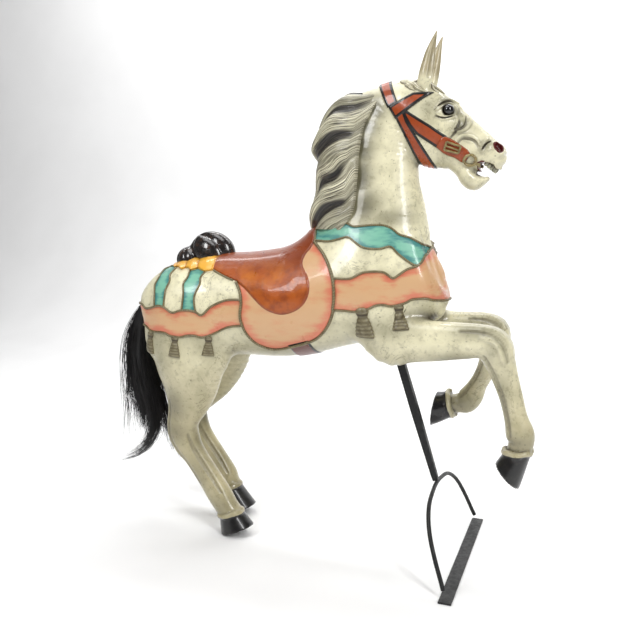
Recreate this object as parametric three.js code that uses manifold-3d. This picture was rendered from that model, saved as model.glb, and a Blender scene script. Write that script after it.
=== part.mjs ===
// A carved and painted wooden carousel horse with a real horsehair tail, held up by a steel stand.
// Millimetres, +Z up, +X the way the horse faces. The horse's right side is at -Y.
// The stations below are set out from the heel of the right hind hoof, on the horse's mid-plane.
import * as THREE from 'three';
import { mergeVertices } from 'three/addons/utils/BufferGeometryUtils.js';
import Module from 'manifold-3d';

const wasm = await Module();
wasm.setup();

// ---- Driving dimensions -------------------------------------------------------------------------
const GAP = 0.3;                  // clearance between pieces that touch
const LEG_OUT = 88;               // mid-plane to the middle of a hind leg
const FORELEG_OUT = 92;           // mid-plane to the middle of a foreleg
const LEFT_HIND_BACK = 62;        // how far the left hind foot stands behind the right one
const CLOTH_LIFT = 3;             // relief of the horse cloth
const FLAP_LIFT = 8;              // relief of the saddle cloth
const SADDLE_LIFT = 13;           // relief of the saddle
const STRAP_LIFT = 4;             // relief of the bridle straps
const EAR_OUT = 40;               // mid-plane to the root of an ear
const EYE_RADIUS = 13;

const ROD_WIDTH = 25;             // square steel rod
const ROD_FOOT_WIDTH = 19;        // the rod is drawn down where it is welded to the bow
const ROD_LEAN = THREE.MathUtils.degToRad(17.8);
const BOW_LEAN = THREE.MathUtils.degToRad(20.1);
const BOW_APEX = [728, 245];      // x and z of the bow's middle line at its top
const BOW_SPAN = 285;             // mid-plane to a foot of the bow
const BOW_THICKNESS = 13;
const FOOT_LENGTH = 620;
const FOOT_WIDTH = 38;
const FOOT_THICKNESS = 6;

// Each station is [x, y, z, half depth in the direction of travel's plane, half width across].
const TRUNK = [
  [-290, 0, 765, 34, 62], [-278, 0, 768, 66, 96], [-248, 0, 772, 94, 120], [-205, 0, 777, 117, 137],
  [-160, 0, 778, 135, 146], [0, 0, 775, 167, 145], [200, 0, 786, 174, 150], [400, 0, 826, 167, 150],
  [500, 0, 849, 165, 146], [590, 0, 872, 166, 136], [645, 0, 888, 154, 118], [682, 0, 896, 130, 100],
  [704, 0, 900, 100, 78], [717, 0, 900, 66, 52], [726, 0, 900, 28, 22],
];
const BREAST_TIP = 7;             // how far the breast rounds out beyond the last station
const NECK = [
  [490, 0, 900, 200, 118], [512, 0, 990, 192, 114], [524, 0, 1085, 160, 98], [527, 0, 1180, 134, 82],
  [532, 0, 1270, 122, 72], [552, 0, 1345, 106, 64], [584, 0, 1398, 62, 52],
];
const HIND_LEG = [
  [-105, 58, 800, 130, 74], [-110, 70, 700, 168, 78], [-101, 82, 612, 150, 75], [-101, 88, 557, 126, 66],
  [-103, 88, 499, 103, 55], [-113, 88, 445, 81, 47], [-129, 88, 396, 61, 42], [-134, 88, 345, 57, 41],
  [-113, 88, 292, 51, 37], [-86, 88, 256, 43, 35], [-35, 88, 186, 43, 34], [0, 88, 136, 44, 37],
  [28, 88, 94, 42, 37], [46, 88, 68, 42, 39],
];
const RIGHT_FORELEG = [
  [560, -58, 790, 118, 76], [610, -80, 722, 92, 64], [665, -90, 705, 68, 54], [740, -92, 703, 54, 47],
  [814, -92, 708, 47, 43], [870, -92, 710, 44, 41], [903, -92, 697, 46, 42], [921, -92, 657, 39, 38],
  [938, -92, 614, 35, 33], [957, -92, 560, 32, 30], [974, -92, 499, 34, 31], [986, -92, 452, 38, 35],
  [990, -92, 420, 36, 34], [984, -92, 394, 39, 37],
];
const LEFT_FORELEG = [
  [560, 58, 800, 110, 76], [610, 80, 755, 82, 62], [665, 90, 738, 60, 52], [740, 92, 730, 49, 47],
  [810, 92, 727, 47, 43], [862, 92, 727, 46, 42], [896, 92, 712, 47, 43], [893, 92, 665, 40, 39],
  [874, 92, 622, 33, 33], [837, 92, 546, 29, 29], [815, 92, 508, 34, 32], [798, 92, 486, 38, 35],
  [773, 92, 476, 36, 34], [750, 92, 472, 39, 37],
];
// The head is set out along the face: [distance down it, height over its top line, half depth, half width].
const FACE_ALONG = [0.745, -0.667];
const FACE_UP = [0.667, 0.745];
const SKULL = [
  [-92, -176, 62, 48], [-52, -136, 73, 56], [-12, -106, 83, 63], [30, -95, 89, 68], [70, -91, 89, 69],
  [115, -89, 87, 63], [160, -82, 81, 54], [210, -70, 69, 47], [260, -56, 56, 43], [296, -47, 46, 42],
  [313, -50, 33, 36],
];
const JAW = [
  [70, -122, 76, 52], [110, -132, 82, 53], [150, -137, 60, 46], [185, -132, 41, 37], [210, -126, 31, 33],
  [255, -130, 28, 32], [285, -139, 29, 32], [304, -128, 23, 28],
];
// A hoof: hairline at the front and back, then toe and heel, all [x, z].
const HOOVES = {
  rightFore: { hairline: [[1023, 394], [943, 390]], sole: [[992, 286], [922, 356]], y: -FORELEG_OUT },
  leftFore: { hairline: [[759, 432], [738, 512]], sole: [[690, 397], [706, 509]], y: FORELEG_OUT },
  rightHind: { hairline: [[89, 79], [6, 57]], sole: [[124, 38], [12, -2]], y: -LEG_OUT },
};
const HOOF_HALF_WIDTHS = [41, 50];

// Outlines are [x, z], seen from the side and carried through to both sides of the horse.
const SADDLE = [
  [-20, 990], [-2, 905], [42, 886], [98, 870], [135, 847], [171, 817], [205, 790], [238, 776],
  [280, 774], [315, 787], [340, 808], [355, 838], [357, 868], [345, 900], [325, 930], [330, 957],
  [352, 1000], [340, 1060],
];
const SADDLE_CLOTH = [
  [105, 866], [119, 836], [127, 803], [121, 762], [127, 728], [141, 698], [168, 668], [214, 652],
  [272, 662], [335, 684], [383, 714], [416, 756], [434, 812], [436, 870], [419, 920], [389, 963],
  [352, 1000], [300, 1000],
];
const RUMP_CLOTH = [
  [-360, 980], [-360, 716], [-250, 704], [-221, 691], [-161, 692], [-116, 682], [-72, 692],
  [-20, 685], [18, 697], [46, 711], [90, 727], [150, 729], [150, 980],
];
const CHEST_CLOTH = [
  [330, 1010], [400, 1046], [452, 1054], [519, 1047], [565, 1049], [612, 1028], [654, 1011],
  [700, 1019], [800, 1040], [800, 830], [716, 832], [691, 836], [665, 833], [630, 819], [586, 817],
  [545, 804], [499, 793], [400, 797], [330, 820],
];

// ---- Solids -------------------------------------------------------------------------------------
function toSolid(geometry) {
  const bare = geometry.clone();
  bare.deleteAttribute('normal');
  bare.deleteAttribute('uv');
  const merged = mergeVertices(bare, 1e-3);
  return new wasm.Manifold(new wasm.Mesh({
    numProp: 3,
    vertProperties: Float32Array.from(merged.attributes.position.array),
    triVerts: Uint32Array.from(merged.index.array),
  }));
}

function toGeometry(solid) {
  const mesh = solid.getMesh();
  const geometry = new THREE.BufferGeometry();
  geometry.setAttribute('position', new THREE.BufferAttribute(mesh.vertProperties, 3));
  geometry.setIndex(new THREE.BufferAttribute(mesh.triVerts, 1));
  const faceted = geometry.toNonIndexed();
  faceted.computeVertexNormals();
  return faceted;
}

const union = (solids) => solids.reduce((sum, solid) => sum.add(solid));

/** The main body, without the closed pockets left where carved forms overlap. */
const largest = (solid) => solid.decompose().sort((a, b) => b.volume() - a.volume())[0];

/** The closed surface through rings of points, fanned to one point beyond each end ring. */
function skin(rings, startPoint, endPoint) {
  const sides = rings[0].length;
  const points = [startPoint, ...rings.flat(), endPoint];
  const end = points.length - 1;
  const top = rings.length - 1;
  const at = (ring, side) => 1 + ring * sides + (side % sides);
  const index = [];
  for (let side = 0; side < sides; side++) {
    index.push(0, at(0, side + 1), at(0, side));
    for (let ring = 0; ring < top; ring++) {
      index.push(at(ring, side), at(ring, side + 1), at(ring + 1, side + 1));
      index.push(at(ring, side), at(ring + 1, side + 1), at(ring + 1, side));
    }
    index.push(end, at(top, side), at(top, side + 1));
  }
  const geometry = new THREE.BufferGeometry().setFromPoints(points);
  geometry.setIndex(index);
  return toSolid(geometry);
}

/** Rows of numbers smoothed by a Catmull-Rom curve, with `steps` rows for each given one. */
function smooth(rows, steps) {
  const row = (i) => rows[THREE.MathUtils.clamp(i, 0, rows.length - 1)];
  const out = [];
  for (let i = 0; i < rows.length - 1; i++) {
    for (let j = 0; j < steps; j++) {
      const t = j / steps;
      out.push(rows[i].map((_, k) => {
        const [a, b, c, d] = [row(i - 1)[k], row(i)[k], row(i + 1)[k], row(i + 2)[k]];
        return b + 0.5 * t * (c - a + t * (2 * a - 5 * b + 4 * c - d + t * (3 * (b - c) + d - a)));
      }));
    }
  }
  out.push(rows.at(-1));
  return out;
}

/** Elliptical sections swept along the stations, with round ends; `tip` is how far the last bulges. */
function limb(stations, { sides = 12, steps = 1, grow = 0, tip = null } = {}) {
  const rows = smooth(stations, steps);
  const centres = rows.map(([x, y, z]) => new THREE.Vector3(x, y, z));
  const last = rows.length - 1;
  const frameAt = (i) => {
    const along = centres[Math.min(i + 1, last)].clone().sub(centres[Math.max(i - 1, 0)]).normalize();
    const across = new THREE.Vector3(0, 1, 0).addScaledVector(along, -along.y).normalize();
    return { along, across, up: across.clone().cross(along) };
  };
  const ring = (i, scale, shift) => {
    const { along, across, up } = frameAt(i);
    return Array.from({ length: sides }, (_, side) => {
      const angle = (2 * Math.PI * (side + 0.5)) / sides;
      return centres[i].clone().addScaledVector(along, shift)
        .addScaledVector(up, scale * (rows[i][3] + grow) * Math.cos(angle))
        .addScaledVector(across, scale * (rows[i][4] + grow) * Math.sin(angle));
    });
  };
  const endRadius = (i) => (i && tip !== null ? tip : Math.min(rows[i][3], rows[i][4])) + grow;
  const peak = (i, sign) => centres[i].clone().addScaledVector(frameAt(i).along, sign * endRadius(i));
  const shoulder = (i, sign) => ring(i, 0.72, sign * 0.69 * endRadius(i));
  const rings = rows.map((_, i) => ring(i, 1, 0));
  return skin([shoulder(0, -1), ...rings, shoulder(last, 1)], peak(0, -1), peak(last, 1));
}

/** A side-view outline [x, z] carried right across the horse. */
function sideCutter(outline, from = -400, to = 400) {
  const shape = new THREE.Shape(outline.map(([x, z]) => new THREE.Vector2(x, z)));
  const geometry = new THREE.ExtrudeGeometry(shape, { depth: to - from, bevelEnabled: false });
  geometry.rotateX(Math.PI / 2);
  geometry.translate(0, to, 0);
  return toSolid(geometry);
}

/** An ellipsoid whose surface is fluted round its vertical axis. */
function dome([x, y, z], [halfX, halfY, halfZ], flutes = 0, sink = 0, segments = 14) {
  const geometry = new THREE.SphereGeometry(1, segments, Math.ceil(segments / 2));
  geometry.rotateX(Math.PI / 2);
  const position = geometry.attributes.position;
  for (let i = 0; i < position.count; i++) {
    const angle = Math.atan2(position.getY(i), position.getX(i));
    const flute = 1 - sink * Math.abs(Math.sin(0.5 * flutes * angle));
    position.setXYZ(i, position.getX(i) * flute, position.getY(i) * flute, position.getZ(i));
  }
  geometry.scale(halfX, halfY, halfZ);
  geometry.translate(x, y, z);
  return toSolid(geometry);
}

const mirrored = (stations) => stations.map(([x, y, ...rest]) => [x, -y, ...rest]);

// ---- The carved figure --------------------------------------------------------------------------
/** A point [x, y, z] of the head, `along` the face from the poll and `up` from its top line. */
function onHead(along, up, y = 0) {
  const u = along - 470;
  const v = up + 1556;
  return [FACE_ALONG[0] * u + FACE_UP[0] * v, y, FACE_ALONG[1] * u + FACE_UP[1] * v];
}

const headStations = (rows) => rows.map(([u, v, ...size]) => [...onHead(u, v), ...size]);

function trunk(grow) {
  return limb(TRUNK, { sides: 18, grow, tip: BREAST_TIP }).add(limb(NECK, { sides: 16, grow }));
}

function head(grow) {
  const skull = limb(headStations(SKULL), { sides: 14, grow });
  return skull.add(limb(headStations(JAW), { sides: 10, grow }));
}

/** The left hind foot is set back, so the leg swings back from the thigh down. */
function leftHindStations() {
  return HIND_LEG.map(([x, y, z, ...size]) => {
    const swing = THREE.MathUtils.smoothstep(600 - z, 0, 220);
    return [x - LEFT_HIND_BACK * swing, y, z, ...size];
  });
}

function hoof({ hairline, sole, y }) {
  const sides = 10;
  const ring = (t, inset = 1) => {
    const [front, back] = [0, 1].map((i) => [0, 1].map(
      (k) => THREE.MathUtils.lerp(hairline[i][k], sole[i][k], t)));
    const halfWidth = THREE.MathUtils.lerp(...HOOF_HALF_WIDTHS, t) * inset;
    return Array.from({ length: sides }, (_, side) => {
      const angle = (2 * Math.PI * side) / sides;
      const mix = 0.5 + 0.5 * inset * Math.cos(angle);
      return new THREE.Vector3(
        THREE.MathUtils.lerp(back[0], front[0], mix), y + halfWidth * Math.sin(angle),
        THREE.MathUtils.lerp(back[1], front[1], mix));
    });
  };
  const middle = (points) => points.reduce((sum, p) => sum.add(p), new THREE.Vector3())
    .divideScalar(points.length);
  const rings = [ring(-0.2, 0.8), ring(0), ring(0.5), ring(1)];
  const solid = skin(rings, middle(rings[0]), middle(rings.at(-1)));
  return solid.volume() > 0 ? solid : skin(rings.reverse(), middle(rings[0]), middle(rings.at(-1)));
}

function legs() {
  const { rightFore, leftFore, rightHind } = HOOVES;
  const back = ([x, z]) => [x - LEFT_HIND_BACK, z];
  const leftHind = {
    hairline: rightHind.hairline.map(back), sole: rightHind.sole.map(back), y: LEG_OUT,
  };
  return union([
    ...[mirrored(HIND_LEG), leftHindStations(), RIGHT_FORELEG, LEFT_FORELEG].map(
      (stations) => limb(stations, { sides: 9 })),
    hoof(rightFore), hoof(leftFore), hoof(rightHind), hoof(leftHind),
  ]);
}

function ear(side) {
  const out = side * EAR_OUT;
  const leaf = limb([
    [672, out, 1452, 20, 15], [681, out * 1.06, 1500, 21, 17], [692, out * 1.08, 1545, 15, 13],
    [704, out * 1.04, 1585, 6, 6], [710, out, 1602, 1.5, 1.5],
  ], { sides: 8 });
  const hollow = limb([
    [694, out * 1.36, 1490, 13, 8], [703, out * 1.36, 1535, 10, 7], [710, out * 1.2, 1580, 3, 3],
  ], { sides: 6 });
  return leaf.subtract(hollow);
}

/** Locks of the mane run from its front edge, down and back, to the crest's outline. */
function mane() {
  const frontEdge = new THREE.CatmullRomCurve3([
    [540, 34, 1425], [500, 58, 1352], [486, 70, 1285], [481, 80, 1205], [478, 88, 1116], [462, 94, 1062],
  ].map((p) => new THREE.Vector3(...p)));
  const backEdge = new THREE.CatmullRomCurve3([
    [470, 8, 1442], [400, 14, 1424], [347, 18, 1352], [329, 20, 1290], [340, 20, 1225], [338, 22, 1150],
    [325, 22, 1085], [326, 22, 1046],
  ].map((p) => new THREE.Vector3(...p)));
  const core = limb([
    [520, 0, 1408, 34, 36], [458, 0, 1390, 52, 44], [414, 0, 1330, 78, 50], [404, 0, 1250, 72, 54],
    [405, 0, 1160, 70, 58], [400, 0, 1095, 76, 62], [396, 0, 1060, 70, 62],
  ], { sides: 10 });
  const lock = (side, start, fall, thickness) => {
    const root = frontEdge.getPointAt(start);
    const tip = backEdge.getPointAt(Math.min(start + fall, 1));
    const station = (t, size) => {
      const p = root.clone().lerp(tip, t);
      const sweep = Math.sin(Math.PI * t);
      return [p.x - 8 * Math.sin(2 * Math.PI * t), side * (p.y + 22 * sweep), p.z - 16 * sweep,
        thickness * size, 0.62 * thickness * size];
    };
    return limb([station(0, 0.3), station(0.25, 0.9), station(0.55, 1), station(0.82, 0.7),
      station(1, 0.2)], { sides: 5 });
  };
  const locks = [];
  for (let i = 0; i < 7; i++) {
    locks.push(lock(-1, 0.02 + i * 0.14, 0.28 - 0.02 * i, i % 2 ? 21 : 28));
  }
  for (let i = 0; i < 4; i++) {
    locks.push(lock(1, 0.04 + i * 0.25, 0.26, 28));
  }
  return union([core, ...locks]);
}

function forelock() {
  const locks = [-1, 0, 1].map((side) => limb([
    [...onHead(-30, -36, 6 * side), 12, 16], [...onHead(4, -12, 15 * side), 14, 15],
    [...onHead(34, -3, 22 * side), 10, 11], [...onHead(58, -4, 24 * side), 3, 4],
  ], { sides: 6 }));
  return union(locks);
}

/** Brow, eye, cheekbone and nostril wing of one side of the face. */
function faceSide(side) {
  return union([
    limb([[...onHead(84, -38, 40 * side), 12, 14], [...onHead(110, -16, 44 * side), 12, 14],
      [...onHead(136, -30, 38 * side), 8, 10]], { sides: 6 }),
    dome(onHead(110, -34, 45 * side), [EYE_RADIUS, 10, EYE_RADIUS], 0, 0, 8),
    limb([[...onHead(128, -70, 48 * side), 8, 7], [...onHead(165, -66, 46 * side), 8, 7],
      [...onHead(200, -60, 40 * side), 5, 5]], { sides: 6 }),
    dome(onHead(293, -26, 26 * side), [24, 15, 22], 0, 0, 8),
  ]);
}

function mouth() {
  const wedge = [[279, -91], [345, -70], [345, -99]].map(([u, v]) => {
    const [x, , z] = onHead(u, v);
    return [x, z];
  });
  return sideCutter(wedge);
}

function bridle() {
  const straps = [
    [[-104, -100], [-70, -70], [-12, -113], [9, -152], [30, -126], [190, -178], [152, -206],
      [0, -160], [-36, -140]],
    [[-32, -136], [6, -148], [40, -16], [2, -54]],
    [[16, -112], [48, -132], [238, -122], [238, -84], [165, -80]],
  ];
  const outline = (strap) => strap.map(([u, v]) => {
    const [x, , z] = onHead(u, v);
    return [x, z];
  });
  return union(straps.map((strap) => head(STRAP_LIFT).intersect(sideCutter(outline(strap)))));
}

function bitRing(side) {
  const ring = new THREE.TorusGeometry(11, 3, 5, 9);
  ring.rotateX(Math.PI / 2);
  ring.translate(...onHead(256, -92, side * 36));
  return toSolid(ring);
}

/** A carved tassel: a round head over a spreading skirt. */
function tassel(x, y, z, drop) {
  const side = Math.sign(y);
  const station = (t, depth, width) => [x + 0.02 * drop, y - side * 4 * t, z - drop * t, depth, width];
  return limb([station(0.04, 10, 9), station(0.16, 13, 10), station(0.32, 9, 8), station(0.94, 22, 12)],
    { sides: 6 });
}

function tassels() {
  const places = [[-221, 128, 695, 76], [-112, 148, 688, 70], [0, 142, 690, 66], [523, 140, 802, 82],
    [634, 124, 816, 74]];
  return union(places.flatMap(([x, out, z, drop]) => [-1, 1].map(
    (side) => tassel(x, side * out, z, drop))));
}

/** Raises a side-view outline from the trunk by `lift`. */
const relief = (outline, lift) => trunk(lift).intersect(sideCutter(outline));

/** The cloths on rump and chest, the cloth under the saddle and the saddle itself, each over the last. */
function cloths() {
  return union([
    relief(RUMP_CLOTH, CLOTH_LIFT), relief(CHEST_CLOTH, CLOTH_LIFT),
    relief(SADDLE_CLOTH, FLAP_LIFT), relief(SADDLE, SADDLE_LIFT),
  ]);
}

/** The black padded cantle, fluted round its back, on a row of ribs. */
function cantle() {
  return union([
    dome([-55, 0, 948], [88, 56, 74], 6, 0.07, 12),
    dome([-138, 0, 925], [52, 50, 42], 5, 0.06, 10),
    relief(ribbedStrip(), SADDLE_LIFT),
  ]);
}

/** Outline of the strip under the cantle: its lower edge is scalloped, one scallop to a rib. */
function ribbedStrip() {
  const [back, front, ribs] = [-182, -8, 4];
  const scallops = Array.from({ length: 2 * ribs + 1 }, (_, i) => {
    const t = i / (2 * ribs);
    return [THREE.MathUtils.lerp(back, front, t), 902 - 2 * t - (i % 2 ? 9 : 0)];
  });
  return [[back, 980], ...scallops, [front, 980]];
}

function girth() {
  return trunk(STRAP_LIFT).intersect(sideCutter([[258, 700], [274, 620], [350, 634], [342, 700]]));
}

// ---- Stand and tail -----------------------------------------------------------------------------
/** A point of the bow's leaning plane: `y` across and `down` from its apex. */
const onStand = (y, down) => new THREE.Vector3(
  BOW_APEX[0] + down * Math.sin(BOW_LEAN), y, BOW_APEX[1] - down * Math.cos(BOW_LEAN));

function rod(grow = 0) {
  const length = 560;
  const half = ROD_WIDTH / 2 + grow;
  const footHalf = ROD_FOOT_WIDTH / 2 + grow;
  const square = (z, size) => [[-1, -1], [1, -1], [1, 1], [-1, 1]].map(
    ([a, b]) => new THREE.Vector3(a * size, b * size, z));
  const rings = [square(0, footHalf), square(90, half), square(length + grow, half)];
  const middle = (z) => new THREE.Vector3(0, 0, z);
  const geometry = toGeometry(skin(rings, middle(0), middle(length + grow)));
  geometry.rotateY(-ROD_LEAN);
  geometry.translate(BOW_APEX[0], 0, BOW_APEX[1] + 1);
  return toSolid(geometry);
}

function bow() {
  const foot = BOW_APEX[1] / Math.cos(BOW_LEAN);
  const half = [[0, 8], [0.26, 14], [0.5, 27], [0.69, 54], [0.83, 94], [0.92, 150], [0.97, 205]];
  const right = half.slice(1).reverse().map(([y, down]) => onStand(-y * BOW_SPAN, down));
  const left = half.map(([y, down]) => onStand(y * BOW_SPAN, down));
  const path = new THREE.CatmullRomCurve3(
    [onStand(-BOW_SPAN, foot + 10), ...right, ...left, onStand(BOW_SPAN, foot + 10)]);
  const section = new THREE.Shape().absarc(0, 0, BOW_THICKNESS / 2, 0, 2 * Math.PI);
  const geometry = new THREE.ExtrudeGeometry(section, {
    steps: 26, extrudePath: path, curveSegments: 4, bevelEnabled: false,
  });
  const floor = FOOT_THICKNESS + GAP;
  const below = sideCutter([[600, -100], [1000, -100], [1000, floor], [600, floor]]);
  return toSolid(geometry).subtract(below);
}

function foot() {
  const geometry = new THREE.BoxGeometry(FOOT_WIDTH, FOOT_LENGTH, FOOT_THICKNESS);
  const { x } = onStand(0, BOW_APEX[1] / Math.cos(BOW_LEAN));
  geometry.translate(x + 3, 0, FOOT_THICKNESS / 2);
  return toSolid(geometry);
}

/** The outer shape of the hanging horsehair. */
function tail(grow = 0) {
  return limb([
    [-288, 0, 792, 15, 15], [-318, 0, 770, 24, 24], [-342, 0, 715, 36, 32], [-350, 0, 640, 44, 38],
    [-348, 0, 540, 50, 42], [-338, 0, 430, 58, 46], [-328, 0, 320, 78, 52], [-336, 0, 235, 106, 54],
    [-340, 0, 180, 104, 44],
  ], { grow });
}

// ---- Assembly -----------------------------------------------------------------------------------
function horse() {
  const carved = union([
    trunk(0), head(0), legs(), mane(), forelock(), faceSide(-1), faceSide(1), ear(-1), ear(1),
    cloths(), cantle(), girth(), tassels(), bridle(), bitRing(-1), bitRing(1),
  ]);
  const nostrils = [-1, 1].map((side) => dome(onHead(293, -15, 38 * side), [10, 9, 8], 0, 0, 8));
  const ground = sideCutter([[-300, -60], [300, -60], [300, 0], [-300, 0]]);
  const cut = carved.subtract(mouth()).subtract(union(nostrils)).subtract(tail(GAP))
    .subtract(rod(GAP)).subtract(ground);
  return largest(cut);
}

function clearedOf(solid, neighbour, direction) {
  return solid.subtract(neighbour.translate(direction));
}

const part = new THREE.Group();
const carousel = new THREE.Group();
part.add(carousel);

function place(name, solid, colour, roughness, metalness) {
  const material = new THREE.MeshStandardMaterial({ color: colour, roughness, metalness });
  const mesh = new THREE.Mesh(toGeometry(solid), material);
  mesh.name = name;
  carousel.add(mesh);
}

const bowSolid = bow();
place('horse', horse(), 0xcfc9a8, 0.3, 0);
place('tail', tail(), 0x15120f, 0.6, 0);
place('stand_rod', clearedOf(rod(), bowSolid, [0, 0, GAP]), 0x161616, 0.45, 0.6);
place('stand_bow', bowSolid, 0x161616, 0.45, 0.6);
place('stand_foot', foot(), 0x161616, 0.45, 0.6);

const bounds = new THREE.Box3().setFromObject(carousel);
const centre = bounds.getCenter(new THREE.Vector3());
carousel.position.set(-centre.x, -centre.y, -bounds.min.z);
part.updateMatrixWorld(true);

export default part;
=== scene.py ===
"""A carved and painted wooden carousel horse with a horsehair tail, held up by its steel stand.

The horse is worked out in millimetres on a sculptor's frame: X the way it faces, from the heel of
the right hind hoof, Y to its left from the mid-plane, Z up from the floor. The pieces are moved to
the row frame, in metres, when their meshes are made.
"""
import math

import bpy
import numpy as np
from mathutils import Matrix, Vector


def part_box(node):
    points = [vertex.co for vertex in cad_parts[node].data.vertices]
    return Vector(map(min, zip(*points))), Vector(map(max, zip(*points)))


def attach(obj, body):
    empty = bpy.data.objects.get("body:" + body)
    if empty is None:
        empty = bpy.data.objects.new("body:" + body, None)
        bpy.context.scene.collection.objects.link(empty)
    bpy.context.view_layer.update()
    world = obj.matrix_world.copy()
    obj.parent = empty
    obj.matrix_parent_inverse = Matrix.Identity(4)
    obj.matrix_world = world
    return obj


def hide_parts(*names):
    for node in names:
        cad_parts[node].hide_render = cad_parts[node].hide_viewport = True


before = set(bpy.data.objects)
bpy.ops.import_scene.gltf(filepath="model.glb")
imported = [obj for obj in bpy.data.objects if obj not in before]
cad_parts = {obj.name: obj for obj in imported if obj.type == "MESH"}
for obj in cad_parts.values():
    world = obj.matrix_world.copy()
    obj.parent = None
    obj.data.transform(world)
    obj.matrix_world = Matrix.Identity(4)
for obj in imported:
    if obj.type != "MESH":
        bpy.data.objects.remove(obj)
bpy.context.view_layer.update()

RNG = np.random.default_rng(7)
FOOT_CENTRE = 820.7                       # the stand's foot, along X of the sculptor's frame
foot_low, foot_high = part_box("stand_foot")
ORIGIN = np.array([FOOT_CENTRE - 500 * (foot_low.x + foot_high.x), 0.0, 0.0])

BODY_CELL = 4.4                           # mesh cell of the body
HEAD_CELL = 2.3                           # mesh cell of the head

# ---- Stations: [x, y, z, half depth in the plane of travel, half width across] -------------------
LEG_OUT = 88
LEFT_HIND_BACK = 62
LEFT_PASTERN = [[-66, 88, 140, 43, 36], [-52, 88, 112, 39, 35], [-39, 88, 88, 38, 37]]
TRUNK = [
    [-290, 0, 765, 34, 62], [-278, 0, 768, 66, 96], [-248, 0, 772, 94, 120], [-205, 0, 777, 117, 137],
    [-160, 0, 778, 135, 146], [-90, 0, 776, 152, 147], [0, 0, 775, 167, 145], [100, 0, 779, 169, 146],
    [200, 0, 786, 174, 150], [300, 0, 804, 174, 152], [400, 0, 826, 167, 150], [500, 0, 849, 165, 146],
    [590, 0, 872, 166, 136], [655, 0, 886, 150, 118], [690, 0, 894, 138, 106], [708, 0, 899, 122, 92],
    [718, 0, 902, 98, 74], [725, 0, 905, 66, 52], [730, 0, 907, 30, 26],
]
NECK = [
    [470, 0, 880, 215, 120], [510, 0, 990, 190, 112], [524, 0, 1085, 158, 94], [526, 0, 1180, 131, 78],
    [531, 0, 1270, 119, 70], [550, 0, 1340, 100, 62], [572, 0, 1375, 58, 48],
]
HIND_LEG = [
    [-105, 62, 800, 120, 66], [-112, 74, 700, 164, 72], [-101, 82, 612, 148, 72], [-101, 88, 557, 124, 64],
    [-103, 88, 499, 102, 54], [-113, 88, 445, 80, 46], [-127, 88, 399, 61, 41], [-135, 88, 365, 56, 41],
    [-131, 88, 330, 56, 39], [-113, 88, 292, 50, 36], [-86, 88, 256, 42, 34], [-35, 88, 186, 42, 33],
    [0, 88, 136, 44, 36], [28, 88, 94, 41, 36], [46, 88, 68, 42, 39],
]
RIGHT_FORELEG = [
    [540, -64, 790, 100, 60], [600, -84, 714, 88, 58], [660, -90, 706, 68, 53], [740, -92, 709, 60, 48],
    [814, -92, 714, 54, 44], [870, -92, 716, 50, 41], [906, -92, 700, 53, 43], [926, -92, 657, 44, 39],
    [941, -92, 614, 38, 33], [959, -92, 560, 34, 30], [975, -92, 499, 34, 31], [988, -92, 454, 41, 36],
    [993, -92, 428, 37, 34], [986, -92, 402, 33, 33],
]
LEFT_FORELEG = [
    [540, 64, 800, 100, 60], [600, 84, 752, 78, 56], [660, 90, 738, 58, 50], [740, 92, 730, 48, 46],
    [810, 92, 730, 47, 42], [855, 92, 729, 47, 41], [884, 92, 712, 47, 42], [884, 92, 665, 40, 38],
    [870, 92, 622, 32, 32], [856, 92, 582, 29, 29], [838, 92, 546, 29, 28], [820, 92, 510, 37, 32],
    [800, 92, 486, 38, 34], [776, 92, 478, 31, 31], [752, 92, 473, 34, 34],
]
# Hooves: hairline front and back, toe and heel as [x, z], then y.
HOOVES = [
    ([1023, 394], [943, 390], [992, 286], [922, 356], -92), ([759, 432], [738, 512], [690, 397], [706, 509], 92),
    ([89, 79], [6, 57], [124, 38], [12, -2], -88), ([-5, 100], [-72, 72], [50, 35], [-46, -4], 88),
]
HOOF_HALF_WIDTHS = (40, 50)
# The head, along the face: [distance down the face, distance below its top line, half depth, half width].
FACE_ALONG = np.array([0.745, 0.0, -0.667])
FACE_UP = np.array([0.667, 0.0, 0.745])
SKULL = [
    [-92, -176, 54, 44], [-52, -139, 68, 53], [-12, -107, 81, 62], [30, -95, 89, 68], [70, -91, 89, 70],
    [115, -89, 87, 64], [160, -82, 81, 54], [210, -70, 69, 47], [260, -56, 55, 43], [290, -45, 44, 41],
    [306, -46, 31, 34],
]
JAW = [
    [70, -122, 74, 50], [110, -132, 80, 52], [150, -137, 58, 45], [185, -132, 39, 36], [210, -126, 29, 32],
    [250, -128, 26, 31], [278, -135, 27, 31], [299, -130, 26, 28], [313, -114, 15, 24],
    [320, -102, 8, 19],
]
MOUTH = [[274, -84], [279, -74], [288, -68], [297, -62], [308, -58], [322, -62], [334, -56], [352, -56],
         [352, -92], [322, -90], [300, -95], [284, -95]]


def on_head(along, up, y=0.0):
    return FACE_ALONG * (along - 470) + FACE_UP * (up + 1556) + np.array([0.0, y, 0.0])


def side_view(p):
    return p[:, [0, 2]]


def face_view(p):
    """Down the face and up from its top line."""
    return np.column_stack([p @ FACE_ALONG + 470, p @ FACE_UP - 1556])


def mirrored(rows):
    return [[x, -y, *rest] for x, y, *rest in rows]


def left_hind():
    rows = []
    for x, y, z, depth, width in HIND_LEG[:-3]:
        t = min(max((600 - z) / 220, 0), 1)
        rows.append([x - LEFT_HIND_BACK * t * t * (3 - 2 * t), y, z, depth, width])
    return rows + LEFT_PASTERN


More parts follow.
